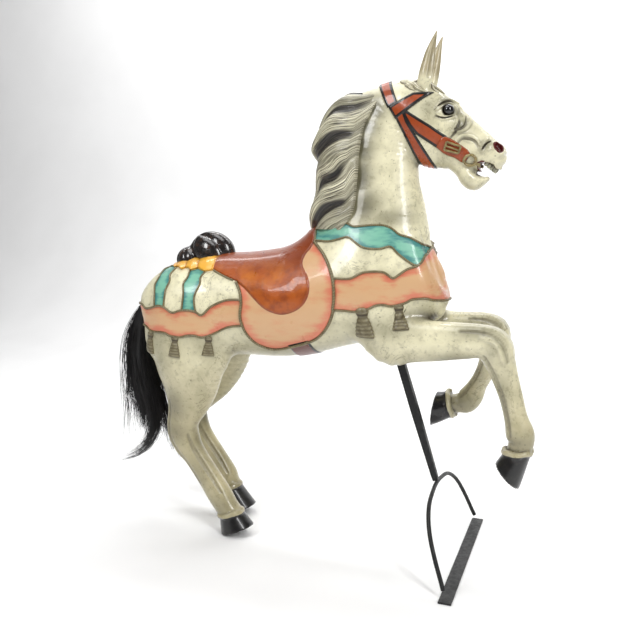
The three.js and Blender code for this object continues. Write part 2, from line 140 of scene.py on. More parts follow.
# ---- Implicit forms --------------------------------------------------------------------------------
def smooth_rows(rows, steps):
    """Rows of numbers along a Catmull-Rom curve, with `steps` rows for each given one."""
    rows = np.asarray(rows, float)
    ends = np.vstack([2 * rows[0] - rows[1], rows, 2 * rows[-1] - rows[-2]])
    out = []
    for i in range(len(rows) - 1):
        a, b, c, d = ends[i:i + 4]
        for t in np.arange(steps) / steps:
            out.append(b + 0.5 * t * (c - a + t * (2 * a - 5 * b + 4 * c - d + t * (3 * (b - c) + d - a))))
    out.append(rows[-1])
    return np.array(out)


class Chain:
    """Elliptical sections swept along stations, as a signed distance."""

    def __init__(self, rows, steps=4, tip=None):
        rows = smooth_rows(rows, steps)
        self.c = rows[:, :3].astype(np.float32)
        self.a, self.b = (np.maximum(rows[:, k], 0.5).astype(np.float32) for k in (3, 4))
        along = np.gradient(rows[:, :3], axis=0)
        along /= np.linalg.norm(along, axis=1)[:, None]
        across = np.array([0, 1.0, 0]) - along * along[:, 1:2]
        across /= np.linalg.norm(across, axis=1)[:, None]
        self.t, self.s = along.astype(np.float32), across.astype(np.float32)
        self.n = np.cross(self.s, self.t)
        self.cap = (min(self.a[0], self.b[0]), tip or min(self.a[-1], self.b[-1]))
        reach = np.maximum(self.a, self.b)[:, None]
        self.low, self.high = (self.c - reach).min(0), (self.c + reach).max(0)

    def __call__(self, p):
        best = np.full(len(p), 1e18, np.float32)
        index = np.zeros(len(p), np.int32)
        part = np.zeros(len(p), np.float32)
        for j in range(len(self.c) - 1):
            edge = self.c[j + 1] - self.c[j]
            q = p - self.c[j]
            t = np.clip((q @ edge) / float(edge @ edge), 0, 1)
            q -= t[:, None] * edge
            d = np.einsum("ij,ij->i", q, q)
            near = d < best
            best[near], index[near], part[near] = d[near], j, t[near]

        def at(v):
            step = part[:, None] if v.ndim == 2 else part
            return v[index] + (v[index + 1] - v[index]) * step

        v = p - at(self.c)
        up = np.einsum("ij,ij->i", v, at(self.n)) / at(self.a)
        side = np.einsum("ij,ij->i", v, at(self.s)) / at(self.b)
        end = np.einsum("ij,ij->i", v, at(self.t))
        first = (index == 0) & (part <= 0) & (end < 0)
        last = (index == len(self.c) - 2) & (part >= 1) & (end > 0)
        end = np.where(first, end / self.cap[0], np.where(last, end / self.cap[1], 0))
        k = np.sqrt(up * up + side * side + end * end)
        length = np.sqrt(np.einsum("ij,ij->i", v, v))
        reach = np.where(k > 1e-3, length / np.maximum(k, 1e-3), np.minimum(at(self.a), at(self.b)))
        return (k - 1) * reach


class Hoof:
    """A hoof between its hairline and its flat sole."""

    def __init__(self, front, back, toe, heel, y):
        self.top, self.sole = np.array([front, back], float), np.array([toe, heel], float)
        self.y = y
        self.lines = [self.line(self.top), self.line(self.sole)]
        corners = np.vstack([self.top, self.sole])
        (x0, z0), (x1, z1) = corners.min(0) - 20, corners.max(0) + 20
        self.low, self.high = np.array([x0, y - 60, z0]), np.array([x1, y + 60, z1])

    def line(self, ends):
        along = ends[0] - ends[1]
        normal = np.array([-along[1], along[0]]) / np.linalg.norm(along)
        way = self.sole.mean(0) - self.top.mean(0)
        return ends.mean(0), normal if normal @ way > 0 else -normal

    def __call__(self, p):
        q = p[:, [0, 2]].astype(float)
        above, below = [(q - centre) @ normal for centre, normal in self.lines]
        t = np.clip(above / np.maximum(above - below, 1e-3), 0, 1)
        t = np.where(above < 0, 0, t)[:, None]
        ends = self.top[None] + (self.sole - self.top)[None] * t[:, :, None]
        centre, half = ends.mean(1), (ends[:, 0] - ends[:, 1]) / 2
        length = np.linalg.norm(half, axis=1)
        u = np.einsum("ij,ij->i", q - centre, half) / length ** 2
        width = HOOF_HALF_WIDTHS[0] + (HOOF_HALF_WIDTHS[1] - HOOF_HALF_WIDTHS[0]) * t[:, 0]
        k = np.sqrt(u * u + ((p[:, 1] - self.y) / width) ** 2)
        side = (k - 1) * np.minimum(length, width)
        return np.maximum(np.maximum(side, below), -above - 12).astype(np.float32)


class Wedge:
    """A side-view triangle or polygon carried right across, as a signed distance."""

    def __init__(self, corners):
        self.corners = np.array(corners)
        (x0, z0), (x1, z1) = self.corners.min(0), self.corners.max(0)
        self.low, self.high = np.array([x0, -200, z0]), np.array([x1, 200, z1])

    def __call__(self, p):
        return polygon_distance(self.corners, p[:, 0], p[:, 2]).astype(np.float32)


def soft_min(a, b, k):
    h = np.maximum(k - np.abs(a - b), 0) / k
    return np.minimum(a, b) - h * h * k * 0.25


class Form:
    """Shapes joined one after another, each with its own blending radius."""

    def __init__(self):
        self.items = []

    def add(self, shape, blend):
        self.items.append((shape, blend, 1))
        return self

    def cut(self, shape, blend):
        self.items.append((shape, blend, -1))
        return self

    def __call__(self, p):
        p = np.asarray(p, np.float32)
        f = np.full(len(p), 500, np.float32)
        for shape, blend, sign in self.items:
            pad = blend + 45
            near = np.all((p > shape.low - pad) & (p < shape.high + pad), axis=1)
            if near.any():
                d = shape(p[near])
                f[near] = soft_min(f[near], d, blend) if sign > 0 else -soft_min(-f[near], d, blend)
        return f


# ---- Outlines, seen from the side --------------------------------------------------------------------
def polygon_distance(points, x, z):
    """Signed distance to a closed polygon, negative inside."""
    x, z = np.asarray(x, float), np.asarray(z, float)
    best, inside = np.full(x.shape, 1e18), np.zeros(x.shape, bool)
    for (x0, z0), (x1, z1) in zip(points, np.roll(points, -1, axis=0)):
        ex, ez = x1 - x0, z1 - z0
        t = np.clip(((x - x0) * ex + (z - z0) * ez) / max(ex * ex + ez * ez, 1e-9), 0, 1)
        best = np.minimum(best, (x - x0 - t * ex) ** 2 + (z - z0 - t * ez) ** 2)
        crosses = (z0 > z) != (z1 > z)
        if abs(ez) > 1e-9:
            inside ^= crosses & (x < x0 + (z - z0) * ex / ez)
    return np.where(inside, -1, 1) * np.sqrt(best)


class Outline:
    STEP = 2.0
    MARGIN = 60

    def __init__(self, corners, smooth=4):
        self.points = np.array(corners, float)
        if smooth:
            wrapped = np.vstack([self.points[-1:], self.points, self.points[:2]])
            self.points = smooth_rows(wrapped, smooth)[smooth:-smooth - 1]
        self.low, self.high = self.points.min(0), self.points.max(0)
        self.table = None

    def distance(self, q):
        if self.table is None:
            self.base = self.low - self.MARGIN
            size = np.ceil((self.high - self.low + 2 * self.MARGIN) / self.STEP).astype(int) + 1
            x, z = np.meshgrid(*[self.base[k] + self.STEP * np.arange(size[k]) for k in (0, 1)], indexing="ij")
            self.table = polygon_distance(self.points, x, z)
        size = np.array(self.table.shape)
        q = (q - self.base) / self.STEP
        q = np.clip(q, 0, size - 1.001)
        i = q.astype(int)
        t = q - i
        table = self.table
        low = table[i[:, 0], i[:, 1]] * (1 - t[:, 1]) + table[i[:, 0], i[:, 1] + 1] * t[:, 1]
        high = table[i[:, 0] + 1, i[:, 1]] * (1 - t[:, 1]) + table[i[:, 0] + 1, i[:, 1] + 1] * t[:, 1]
        return low * (1 - t[:, 0]) + high * t[:, 0]


def smoothstep(x, low, high):
    t = np.clip((x - low) / (high - low), 0, 1)
    return t * t * (3 - 2 * t)


# Edges that the cloths and their cords share, as [x, z].
FLAP_EDGE = [
    [343, 1006], [352, 994], [389, 963], [417, 923], [435, 875], [436, 817], [418, 760], [383, 714],
    [340, 686], [272, 664], [214, 653], [166, 668], [139, 698], [127, 728], [121, 762], [126, 803],
    [118, 838], [100, 865], [89, 873],
]
SADDLE_EDGE = [
    [2, 901], [42, 886], [79, 874], [98, 869], [135, 847], [171, 817], [203, 791], [236, 777],
    [270, 773], [307, 784], [337, 805], [354, 834], [357, 868], [347, 896], [327, 922], [322, 940],
    [328, 960], [343, 980], [350, 1000],
]
RUMP_UPPER = [
    [-330, 770], [-266, 779], [-240, 768], [-216, 770], [-177, 781], [-150, 776], [-122, 761],
    [-92, 770], [-56, 771], [-36, 766], [-16, 757], [14, 784], [53, 803], [82, 811], [121, 813],
]
RUMP_LOWER = [
    [-330, 712], [-252, 706], [-221, 692], [-161, 692], [-138, 684], [-100, 681], [-72, 688],
    [-46, 689], [-20, 684], [18, 697], [46, 711], [76, 723], [117, 729], [160, 730],
]
STRIPES = [
    [[-214, 897], [-203, 869], [-207, 845], [-198, 822], [-194, 782], [-190, 765], [-158, 770], [-155, 783],
     [-153, 812], [-152, 836], [-145, 860], [-156, 880], [-154, 903]],
    [[-80, 903], [-82, 874], [-90, 855], [-83, 823], [-85, 782], [-84, 760], [-38, 756], [-40, 778],
     [-44, 808], [-40, 832], [-31, 856], [-35, 876], [-26, 900]],
]
TURQUOISE_UPPER = [
    [330, 1050], [400, 1047], [452, 1054], [481, 1044], [519, 1047], [565, 1049], [595, 1040],
    [620, 1021], [654, 1010], [694, 985], [705, 975],
]
TURQUOISE_LOWER = [
    [352, 1000], [380, 999], [406, 999], [440, 1007], [466, 1013], [488, 1000], [516, 984], [542, 980],
    [572, 980], [599, 987], [620, 968], [647, 948], [673, 933], [700, 935],
]
CHEST_UPPER = [
    [436, 891], [487, 892], [526, 911], [578, 914], [596, 907], [613, 895], [627, 904], [652, 922],
    [678, 931], [690, 945], [698, 974], [702, 1003], [704, 1019],
]
CHEST_LOWER = [
    [430, 795], [465, 795], [499, 793], [537, 802], [562, 814], [586, 817], [609, 813], [645, 822],
    [665, 833], [691, 836], [707, 836], [722, 830], [745, 826],
]
STRIP = [[-182, 925], [-176, 908], [-160, 900], [-142, 904], [-122, 897], [-102, 903], [-80, 896], [-57, 902],
         [-28, 894], [4, 899], [-4, 960], [-182, 960]]
GIRTH = [[268, 670], [276, 600], [352, 618], [338, 690]]


def between(upper, lower, extra=()):
    return Outline(upper + list(extra) + lower[::-1], smooth=0)


def curve(points, steps=4):
    return smooth_rows(points, steps).tolist()


saddle = Outline(curve(SADDLE_EDGE) + [[340, 1060], [-20, 1060], [-12, 940]], smooth=0)
flap = Outline(curve(FLAP_EDGE) + [[60, 900], [60, 1060], [330, 1060]], smooth=0)
rump_band = between(curve(RUMP_UPPER), curve(RUMP_LOWER))
turquoise_band = between(curve(TURQUOISE_UPPER), curve(TURQUOISE_LOWER))
chest_band = between(curve(CHEST_UPPER), curve(CHEST_LOWER), [[760, 1030], [760, 826]])
stripes = [Outline(points) for points in STRIPES]
strip = Outline(STRIP, smooth=0)
girth = Outline(GIRTH, smooth=0)
rump_cloth = Outline(curve(RUMP_LOWER) + [[160, 1000], [-360, 1000], [-360, 712]], smooth=0)
chest_cloth = Outline([[330, 800], [330, 1052]] + curve(TURQUOISE_UPPER) + [[708, 1024], [780, 1040],
                      [780, 826]] + curve(CHEST_LOWER)[::-1], smooth=0)

CLOTH_LIFT = 3.2
FLAP_LIFT = 5.0
SADDLE_LIFT = 9.0
STRIP_BLOCKS = [-213, -180, -141, -95, -29]       # where the yellow strip's blocks meet
STRIP_LEAN = 0.37                         # how far forward their edges lean as they go outward


# The bridle, as outlines down the face and up from its top line.
STRAPS = [
    [[-145, -96], [-99, -115], [-33, -140], [-20, -108], [-74, -83], [-120, -64]],
    [[-12, -140], [10, -112], [40, -128], [100, -146], [185, -171], [200, -196], [150, -205], [87, -179]],
    [[0, -100], [23, -106], [65, -99], [99, -93], [133, -89], [157, -85], [160, -129], [125, -134],
     [85, -140], [54, -135], [14, -122]],
]
STRAP_END = [[150, -94], [170, -83], [200, -78], [234, -76], [242, -92], [238, -112], [212, -117],
             [187, -127], [165, -129], [152, -126]]
BROWBAND = [[-34, -136], [6, -149], [20, -100], [40, -17], [-4, -58]]
STRAP_LIFT = 3.0


def bridle_under(q):
    return np.minimum.reduce([strap.distance(q) for strap in straps])


straps = [Outline(points, smooth=0) for points in STRAPS]
strap_end = Outline(STRAP_END)
browband = Outline(BROWBAND, smooth=0)
mouth = Outline(MOUTH, smooth=0)


def relief(p):
    """How far the carved cloths, the saddle and the bridle stand out of the body at each point."""
    q = side_view(p)
    lift = np.zeros(len(p))
    low = (p[:, 2] < 1080) & (p[:, 2] > 590)
    if low.any():
        lift[low] = cloth_relief(p[low], q[low])
    high = (p[:, 2] > 1180) & (p[:, 0] > 460)
    if high.any():
        face = face_view(p[high])
        under = STRAP_LIFT * smoothstep(-bridle_under(face), -0.5, 1.5)
        over = np.minimum(browband.distance(face), strap_end.distance(face))
        lift[high] = np.maximum(under, 1.7 * STRAP_LIFT * smoothstep(-over, -0.5, 1.5))
    return lift


def block_bulge(p):
    """0 at the edges of the yellow strip's blocks and 1 in their middles."""
    at = p[:, 0] - STRIP_LEAN * np.abs(p[:, 1])
    k = np.clip(np.searchsorted(STRIP_BLOCKS, at) - 1, 0, len(STRIP_BLOCKS) - 2)
    low, high = np.array(STRIP_BLOCKS)[k], np.array(STRIP_BLOCKS)[k + 1]
    return np.sqrt(np.clip(1 - np.abs(2 * (at - low) / (high - low) - 1), 0, 1))


def cloth_relief(p, q):
    lift = np.zeros(len(p))
    for outline, height in ((rump_cloth, CLOTH_LIFT), (chest_cloth, CLOTH_LIFT), (girth, 4.0),
                            (flap, FLAP_LIFT), (saddle, SADDLE_LIFT)):
        lift = np.maximum(lift, height * smoothstep(-outline.distance(q), -1.0, 5.0))
    lift += 6.0 * smoothstep(-saddle.distance(q), 0, 55) * smoothstep(900 - p[:, 2], 0, 60)
    return np.maximum(lift, (SADDLE_LIFT + 5.0 * block_bulge(p)) * smoothstep(-strip.distance(q), -1.0, 6.0))


# ---- The horse's form --------------------------------------------------------------------------------
def head_rows(rows):
    return [[*on_head(u, v), *size] for u, v, *size in rows]


def face_chain(rows, side, steps=3):
    return Chain([[*on_head(u, v, side * y), depth, width] for u, v, y, depth, width in rows], steps)


def coronet(front, back, toe, heel, y):
    """The lumpy ridge of skin round the top of a hoof, notched at the front."""
    front, back, toe = np.array(front, float), np.array(back, float), np.array(toe, float)
    up = (front - toe) / np.linalg.norm(front - toe)
    centre, half = (front + back) / 2, (front - back) / 2
    rows = []
    for angle in np.linspace(0.16, 2 * np.pi - 0.16, 25):
        x, z = centre + half * 0.96 * math.cos(angle) + up * (5 + 3 * math.sin(5 * angle))
        rows.append([x, y + 39 * math.sin(angle), z, 8 + 2 * math.sin(7 * angle), 7])
    return Chain(rows, 1)


EYE = (106, -29, 41)                      # along the face, up from its top line, out from the middle
EYE_RADIUS = 16.5
# Carved lines of the face as (points along and up, half thickness): raised ones and cut ones.
RIDGES = [
    ([(84, -52), (86, -33), (93, -16), (106, -10), (120, -13), (130, -24)], 4.2),
    ([(88, -58), (98, -58), (112, -51), (122, -40), (130, -27)], 3.4),
    ([(80, -50), (74, -28), (84, -8), (104, -1), (124, -4)], 5.0),
    ([(96, -66), (114, -58), (127, -44), (134, -31), (143, -31), (152, -42), (158, -60), (160, -80)], 3.6),
    ([(160, -4), (171, -10), (180, -22), (181, -37), (175, -52), (162, -62)], 4.6),
    ([(186, -80), (184, -64), (192, -50), (208, -41), (226, -38), (241, -42), (254, -52)], 4.4),
    ([(252, -50), (247, -34), (246, -18)], 4.0), ([(262, -54), (270, -40), (268, -28)], 3.6),
]
GROOVES = [
    ([(79, -52), (78, -32), (88, -12), (105, -5), (123, -8), (136, -20)], 2.0),
    ([(92, -65), (112, -56), (124, -43), (131, -31)], 1.8),
    ([(150, -30), (159, -44), (166, -62), (167, -82)], 3.2),
    ([(153, -10), (163, -18), (171, -30), (169, -46), (158, -56)], 3.4),
    ([(194, -82), (193, -66), (200, -56), (213, -48), (228, -45), (242, -50)], 2.6),
    ([(256, -44), (255, -30), (257, -16)], 3.2),
]


def on_cheek(form, along, up, side):
    """The spot on the head's side at a place given along the face and up from its top line."""
    points = np.array([on_head(along, up, side * y) for y in np.arange(0, 90, 0.5)], np.float32)
    inside = np.nonzero(form(points) < 0)[0]
    return points[inside[-1] if len(inside) else 0]


def carve_line(form, skin, line, size, side, raised):
    """A raised or a cut line over the cheek, thin at both ends."""
    count = len(line)
    thin = [0.35 + 0.65 * math.sin(math.pi * (k + 0.5) / count) for k in range(count)]
    rows = [[*on_cheek(skin, u, v, side), size * t, size * t] for (u, v), t in zip(line, thin)]
    if raised:
        form.add(Chain(rows), 4)
    else:
        form.cut(Chain(rows), 3)


def add_face(form, side):
    skin = Form().add(Chain(head_rows(SKULL), tip=22), 26).add(Chain(head_rows(JAW)), 14)
    form.add(face_chain([[276, -16, 24, 10, 10], [288, -18, 29, 16, 11], [300, -22, 27, 12, 10]], side), 14)
    form.add(face_chain([[262, -32, 32, 8, 8], [270, -46, 35, 6, 6]], side), 14)
    u, v, y = EYE
    form.cut(face_chain([[u + 3, v, y + 24, 14, 14], [u, v, y + 4, 17, 17]], side, 2), 3)
    for line, size in RIDGES:
        carve_line(form, skin, line, size, side, True)
    for line, size in GROOVES:
        carve_line(form, skin, line, size, side, False)


def carve_leg(form, rows, first, last, around, size, raised):
    """A line down a leg, `around` degrees from its back edge, on both of its sides."""
    leg = Chain(rows)
    index = np.arange(first * 4, last * 4 + 1)
    turn = math.radians(around)
    for side in (-1, 1):
        spots = (leg.c + leg.n * (leg.a * math.cos(turn))[:, None]
                 + leg.s * (side * leg.b * math.sin(turn))[:, None])[index]
        thin = size * (0.4 + 0.6 * np.sin(np.pi * (np.arange(len(index)) + 0.5) / len(index)))
        line = Chain(np.column_stack([spots, thin, thin]), 1)
        if raised:
            form.add(line, 6)
        else:
            form.cut(line, 6)


def carve_legs(form):
    for rows, knee, fetlock in ((RIGHT_FORELEG, 6, 11), (LEFT_FORELEG, 6, 12)):
        carve_leg(form, rows, knee, fetlock, 52, 5.0, False)
        carve_leg(form, rows, knee - 1, knee + 1, 152, 6.0, True)
        carve_leg(form, rows, knee - 2, knee + 1, 128, 4.5, False)
        carve_leg(form, rows, knee - 1, knee + 1, 108, 5.5, True)
    for rows in (mirrored(HIND_LEG), left_hind()):
        carve_leg(form, rows, 8, 12, 128, 5.0, False)
        carve_leg(form, rows, 5, 11, 50, 5.5, False)


def ear_chains(side):
    leaf = [[670, 38, 1440, 20, 15], [677, 41, 1478, 21, 17], [684, 42, 1512, 19, 15], [692, 43, 1548, 14, 12],
            [701, 42, 1580, 7, 7], [708, 41, 1601, 2.2, 2.2]]
    hollow = [[694, 56, 1476, 8, 7], [700, 57, 1506, 10, 8], [704, 55, 1540, 8, 7], [708, 50, 1572, 4.5, 4],
              [711, 46, 1590, 1.5, 1.5]]
    return [Chain([[x, side * y, z, *size] for x, y, z, *size in rows]) for rows in (leaf, hollow)]


def build_figure(hollowed=True):
    form = Form().add(Chain(TRUNK, tip=5), 1).add(Chain(NECK), 60)
    form.add(Chain(head_rows(SKULL), tip=22), 26).add(Chain(head_rows(JAW)), 14)
    form.add(Chain(RIGHT_FORELEG), 40).add(Chain(LEFT_FORELEG), 40)
    form.add(Chain(mirrored(HIND_LEG)), 45).add(Chain(left_hind()), 45)
    carve_legs(form)
    for hoof in HOOVES:
        form.add(Hoof(*hoof), 3).add(coronet(*hoof), 6)
    for side in (-1, 1):
        add_face(form, side)
        leaf, hollow = ear_chains(side)
        form.add(leaf, 14)
        if hollowed:
            form.cut(hollow, 5)
    form.add(Chain([[*on_head(u, v), d, w] for u, v, d, w in
                    ((300, -60, 9, 31), (316, -57, 9, 26), (327, -57, 6, 18))]), 8)
    if not hollowed:
        return form
    form.cut(Wedge([on_head(u, v)[[0, 2]] for u, v in MOUTH]), 3)
    for side in (-1, 1):
        for u, v, size in ((278, -6, 10), (286, -9, 12), (294, -12, 9)):
            form.cut(face_chain([[u, v, 46, size, size], [u + 1, v - 3, 35, size * 0.8, size * 0.8],
                                 [u + 2, v - 6, 27, size * 0.5, size * 0.5]], side), 4)
    return form


figure = build_figure()
unhollowed = build_figure(False)


def carved(p):
    """The horse with its cloths and bridle, standing on flat soles."""
    return np.maximum(figure(p) - relief(p).astype(np.float32), -p[:, 2]).astype(np.float32)


def slope(f, p, step=1.0):
    """A form's gradient at points near its surface."""
    corners = np.array([[1, -1, -1], [-1, -1, 1], [-1, 1, -1], [1, 1, 1]], np.float32)
    return sum(corner * f(p + step * corner)[:, None] for corner in corners) / (4 * step)


def gradient(f, p, step=1.0):
    """Unit normals of a form at points near its surface."""
    g = slope(f, p, step)
    return g / np.maximum(np.linalg.norm(g, axis=1), 1e-9)[:, None]


def settle(f, p, level=0.0, rounds=3):
    """Moves points along the form's normal to the surface, or to a level above it."""
    p = np.array(p, np.float32)
    for _ in range(rounds):
        g = slope(f, p)
        steep = np.linalg.norm(g, axis=1)
        move = np.clip((level - f(p)) / np.maximum(steep, 0.35), -12, 12)
        p += g * (move / np.maximum(steep, 1e-9))[:, None]
    return p


# ---- Meshing -----------------------------------------------------------------------------------------
def sample_grid(f, low, high, cell, block=8):
    """Values of a form on a grid. Blocks far from the surface get only their sign."""
    count = (np.ceil((np.array(high) - low) / (cell * block)) * block).astype(int) + 1
    values = np.empty(count, np.float32)
    blocks = (count - 1) // block
    index = np.stack(np.meshgrid(*[np.arange(n) for n in blocks], indexing="ij"), -1).reshape(-1, 3)
    centres = low + cell * block * (index + 0.5)
    at_centre = np.minimum(f(centres), 400)
    near = np.abs(at_centre) < 1.5 * cell * block
    offsets = np.stack(np.meshgrid(*[np.arange(block + 1)] * 3, indexing="ij"), -1)
    for i, value in zip(index[~near], at_centre[~near]):
        s = tuple(slice(b * block, (b + 1) * block + 1) for b in i)
        values[s] = value
    batch = 400
    close = index[near]
    for start in range(0, len(close), batch):
        group = close[start:start + batch]
        nodes = group[:, None, None, None, :] * block + offsets[None]
        d = f((low + cell * nodes).reshape(-1, 3)).reshape(nodes.shape[:-1])
        for i, part in zip(group, d):
            s = tuple(slice(b * block, (b + 1) * block + 1) for b in i)
            values[s] = part
    return values


def surface_nets(f, low, cell):
    """Vertices and quads of the zero level of a sampled form."""
    negative = f < 0
    count = np.zeros(np.array(f.shape) - 1, np.int8)
    corners = [(i, j, k) for i in (0, 1) for j in (0, 1) for k in (0, 1)]
    for i, j, k in corners:
        count += negative[i:f.shape[0] - 1 + i, j:f.shape[1] - 1 + j, k:f.shape[2] - 1 + k]
    ids = np.argwhere((count > 0) & (count < 8))
    number = np.full(count.shape, -1, np.int64)
    number[tuple(ids.T)] = np.arange(len(ids))
    total, crossings = np.zeros((len(ids), 3)), np.zeros(len(ids))
    for a in range(8):
        for b in range(a + 1, 8):
            ca, cb = np.array(corners[a]), np.array(corners[b])
            if np.abs(ca - cb).sum() != 1:
                continue
            fa, fb = f[tuple((ids + ca).T)], f[tuple((ids + cb).T)]
            cut = (fa < 0) != (fb < 0)
            t = fa[cut] / (fa[cut] - fb[cut])
            total[cut] += ca + (cb - ca) * t[:, None]
            crossings[cut] += 1
    vertices = low + cell * (ids + total / crossings[:, None])
    quads = []
    for axis in range(3):
        others = [k for k in range(3) if k != axis]
        first, second = [slice(None)] * 3, [slice(None)] * 3
        first[axis], second[axis] = slice(0, -1), slice(1, None)
        inside = negative[tuple(first)]
        edges = np.argwhere(inside != negative[tuple(second)])
        for k in others:
            edges = edges[(edges[:, k] > 0) & (edges[:, k] < f.shape[k] - 1)]
        flip = inside[tuple(edges.T)] ^ (axis == 1)
        ring = []
        for da, db in ((-1, -1), (0, -1), (0, 0), (-1, 0)):
            cell_index = edges.copy()
            cell_index[:, others[0]] += da
            cell_index[:, others[1]] += db
            ring.append(number[tuple(cell_index.T)])
        quad = np.stack(ring, 1)
        quad[~flip] = quad[~flip][:, ::-1]
        quads.append(quad)
    return vertices, np.vstack(quads)


def mesh_form(f, low, high, cell, keep=None):
    """A projected mesh of a form inside a box, without the faces that `keep` rejects."""
    low = np.array(low, float)
    vertices, quads = surface_nets(sample_grid(f, low, high, cell), low, cell)
    if keep is not None:
        quads = quads[keep(vertices[quads].mean(1))]
    used = np.unique(quads)
    number = np.zeros(len(vertices), np.int64)
    number[used] = np.arange(len(used))
    return settle(f, vertices[used], rounds=2), number[quads]


# ---- Pieces ------------------------------------------------------------------------------------------
def make_piece(name, vertices, faces, material, slot, attributes=None, normals=None, smooth=True):
    """A mesh piece from sculptor's millimetres, riding on the one body."""
    mesh = bpy.data.meshes.new(name)
    points = (np.asarray(vertices, float) - ORIGIN) / 1000
    mesh.from_pydata(points.tolist(), [], [list(map(int, face)) for face in faces])
    for key, values in (attributes or {}).items():
        values = np.asarray(values, np.float32)
        if values.ndim == 2:
            colour = mesh.attributes.new(key, "FLOAT_COLOR", "POINT")
            colour.data.foreach_set("color", np.column_stack([values, np.ones(len(values))]).ravel())
        else:
            mesh.attributes.new(key, "FLOAT", "POINT").data.foreach_set("value", values)
    mesh.materials.append(material)
    if smooth:
        mesh.shade_smooth()
    if normals is not None:
        mesh.normals_split_custom_set_from_vertices(np.asarray(normals, float).tolist())
    mesh.update()
    piece = bpy.data.objects.new(name, mesh)
    bpy.context.scene.collection.objects.link(piece)
    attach(piece, "root")
    return piece


class Batch:
    """Several meshes gathered into one piece."""

    def __init__(self):
        self.vertices, self.faces, self.attributes, self.count = [], [], {}, 0

    def add(self, vertices, faces, **attributes):
        self.vertices.append(np.asarray(vertices, float))
        self.faces += [[index + self.count for index in face] for face in faces]
        for key, values in attributes.items():
            self.attributes.setdefault(key, []).append(np.asarray(values, float))
        self.count += len(vertices)

    def piece(self, name, material, slot):
        attributes = {key: np.concatenate(values) for key, values in self.attributes.items()}
        return make_piece(name, np.vstack(self.vertices), self.faces, material, slot, attributes)


def grid_faces(rows, columns, closed_columns=False, offset=0):
    faces = []
    span = columns if closed_columns else columns - 1
    for i in range(rows - 1):
        for j in range(span):
            k = (j + 1) % columns
            faces.append([offset + i * columns + j, offset + i * columns + k,
                          offset + (i + 1) * columns + k, offset + (i + 1) * columns + j])
    return faces


def path_frames(path, up):
    """Tangent, sideways and outward unit vectors along a path, with `up` as the outward hint."""
    tangent = np.gradient(path, axis=0)
    tangent /= np.maximum(np.linalg.norm(tangent, axis=1), 1e-9)[:, None]
    outward = up - tangent * np.einsum("ij,ij->i", up, tangent)[:, None]
    outward /= np.maximum(np.linalg.norm(outward, axis=1), 1e-9)[:, None]
    return tangent, np.cross(tangent, outward), outward


def resample(path, spacing):
    path = np.asarray(path, float)
    length = np.concatenate([[0], np.cumsum(np.linalg.norm(np.diff(path, axis=0), axis=1))])
    count = max(int(length[-1] / spacing), 2)
    at = np.linspace(0, length[-1], count + 1)
    return np.column_stack([np.interp(at, length, path[:, k]) for k in range(path.shape[1])])


def tube(path, up, half_width, half_height, sides=8, shape=None, closed=False):
    """A closed tube of elliptical sections. half_width and half_height are numbers or one per point."""
    path = np.asarray(path, float)
    if closed:
        extended = np.vstack([path[-1:], path, path[:1]])
        tangent, side, outward = (v[1:-1] for v in path_frames(extended, np.vstack([up[-1:], up, up[:1]])))
    else:
        tangent, side, outward = path_frames(path, up)
    angle = 2 * np.pi * (np.arange(sides) + 0.5) / sides
    width = np.broadcast_to(half_width, len(path))[:, None]
    height = np.broadcast_to(half_height, len(path))[:, None]
    scale = np.ones((len(path), sides)) if shape is None else shape(np.arange(len(path))[:, None], angle[None])
    ring = (path[:, None] + side[:, None] * (width * scale * np.cos(angle))[..., None]
            + outward[:, None] * (height * scale * np.sin(angle))[..., None])
    vertices = ring.reshape(-1, 3)
    faces = grid_faces(len(path), sides, True)
    if closed:
        last = (len(path) - 1) * sides
        faces += [[last + j, last + (j + 1) % sides, (j + 1) % sides, j] for j in range(sides)]
    else:
        faces += [list(range(sides))[::-1], [(len(path) - 1) * sides + j for j in range(sides)]]
    return vertices, faces


# ---- Materials ---------------------------------------------------------------------------------------
def srgb(red, green, blue):
    """Linear colour from 0-255 display values."""
    return tuple(((c / 255 + 0.055) / 1.055) ** 2.4 if c > 10 else c / 255 / 12.92 for c in (red, green, blue))


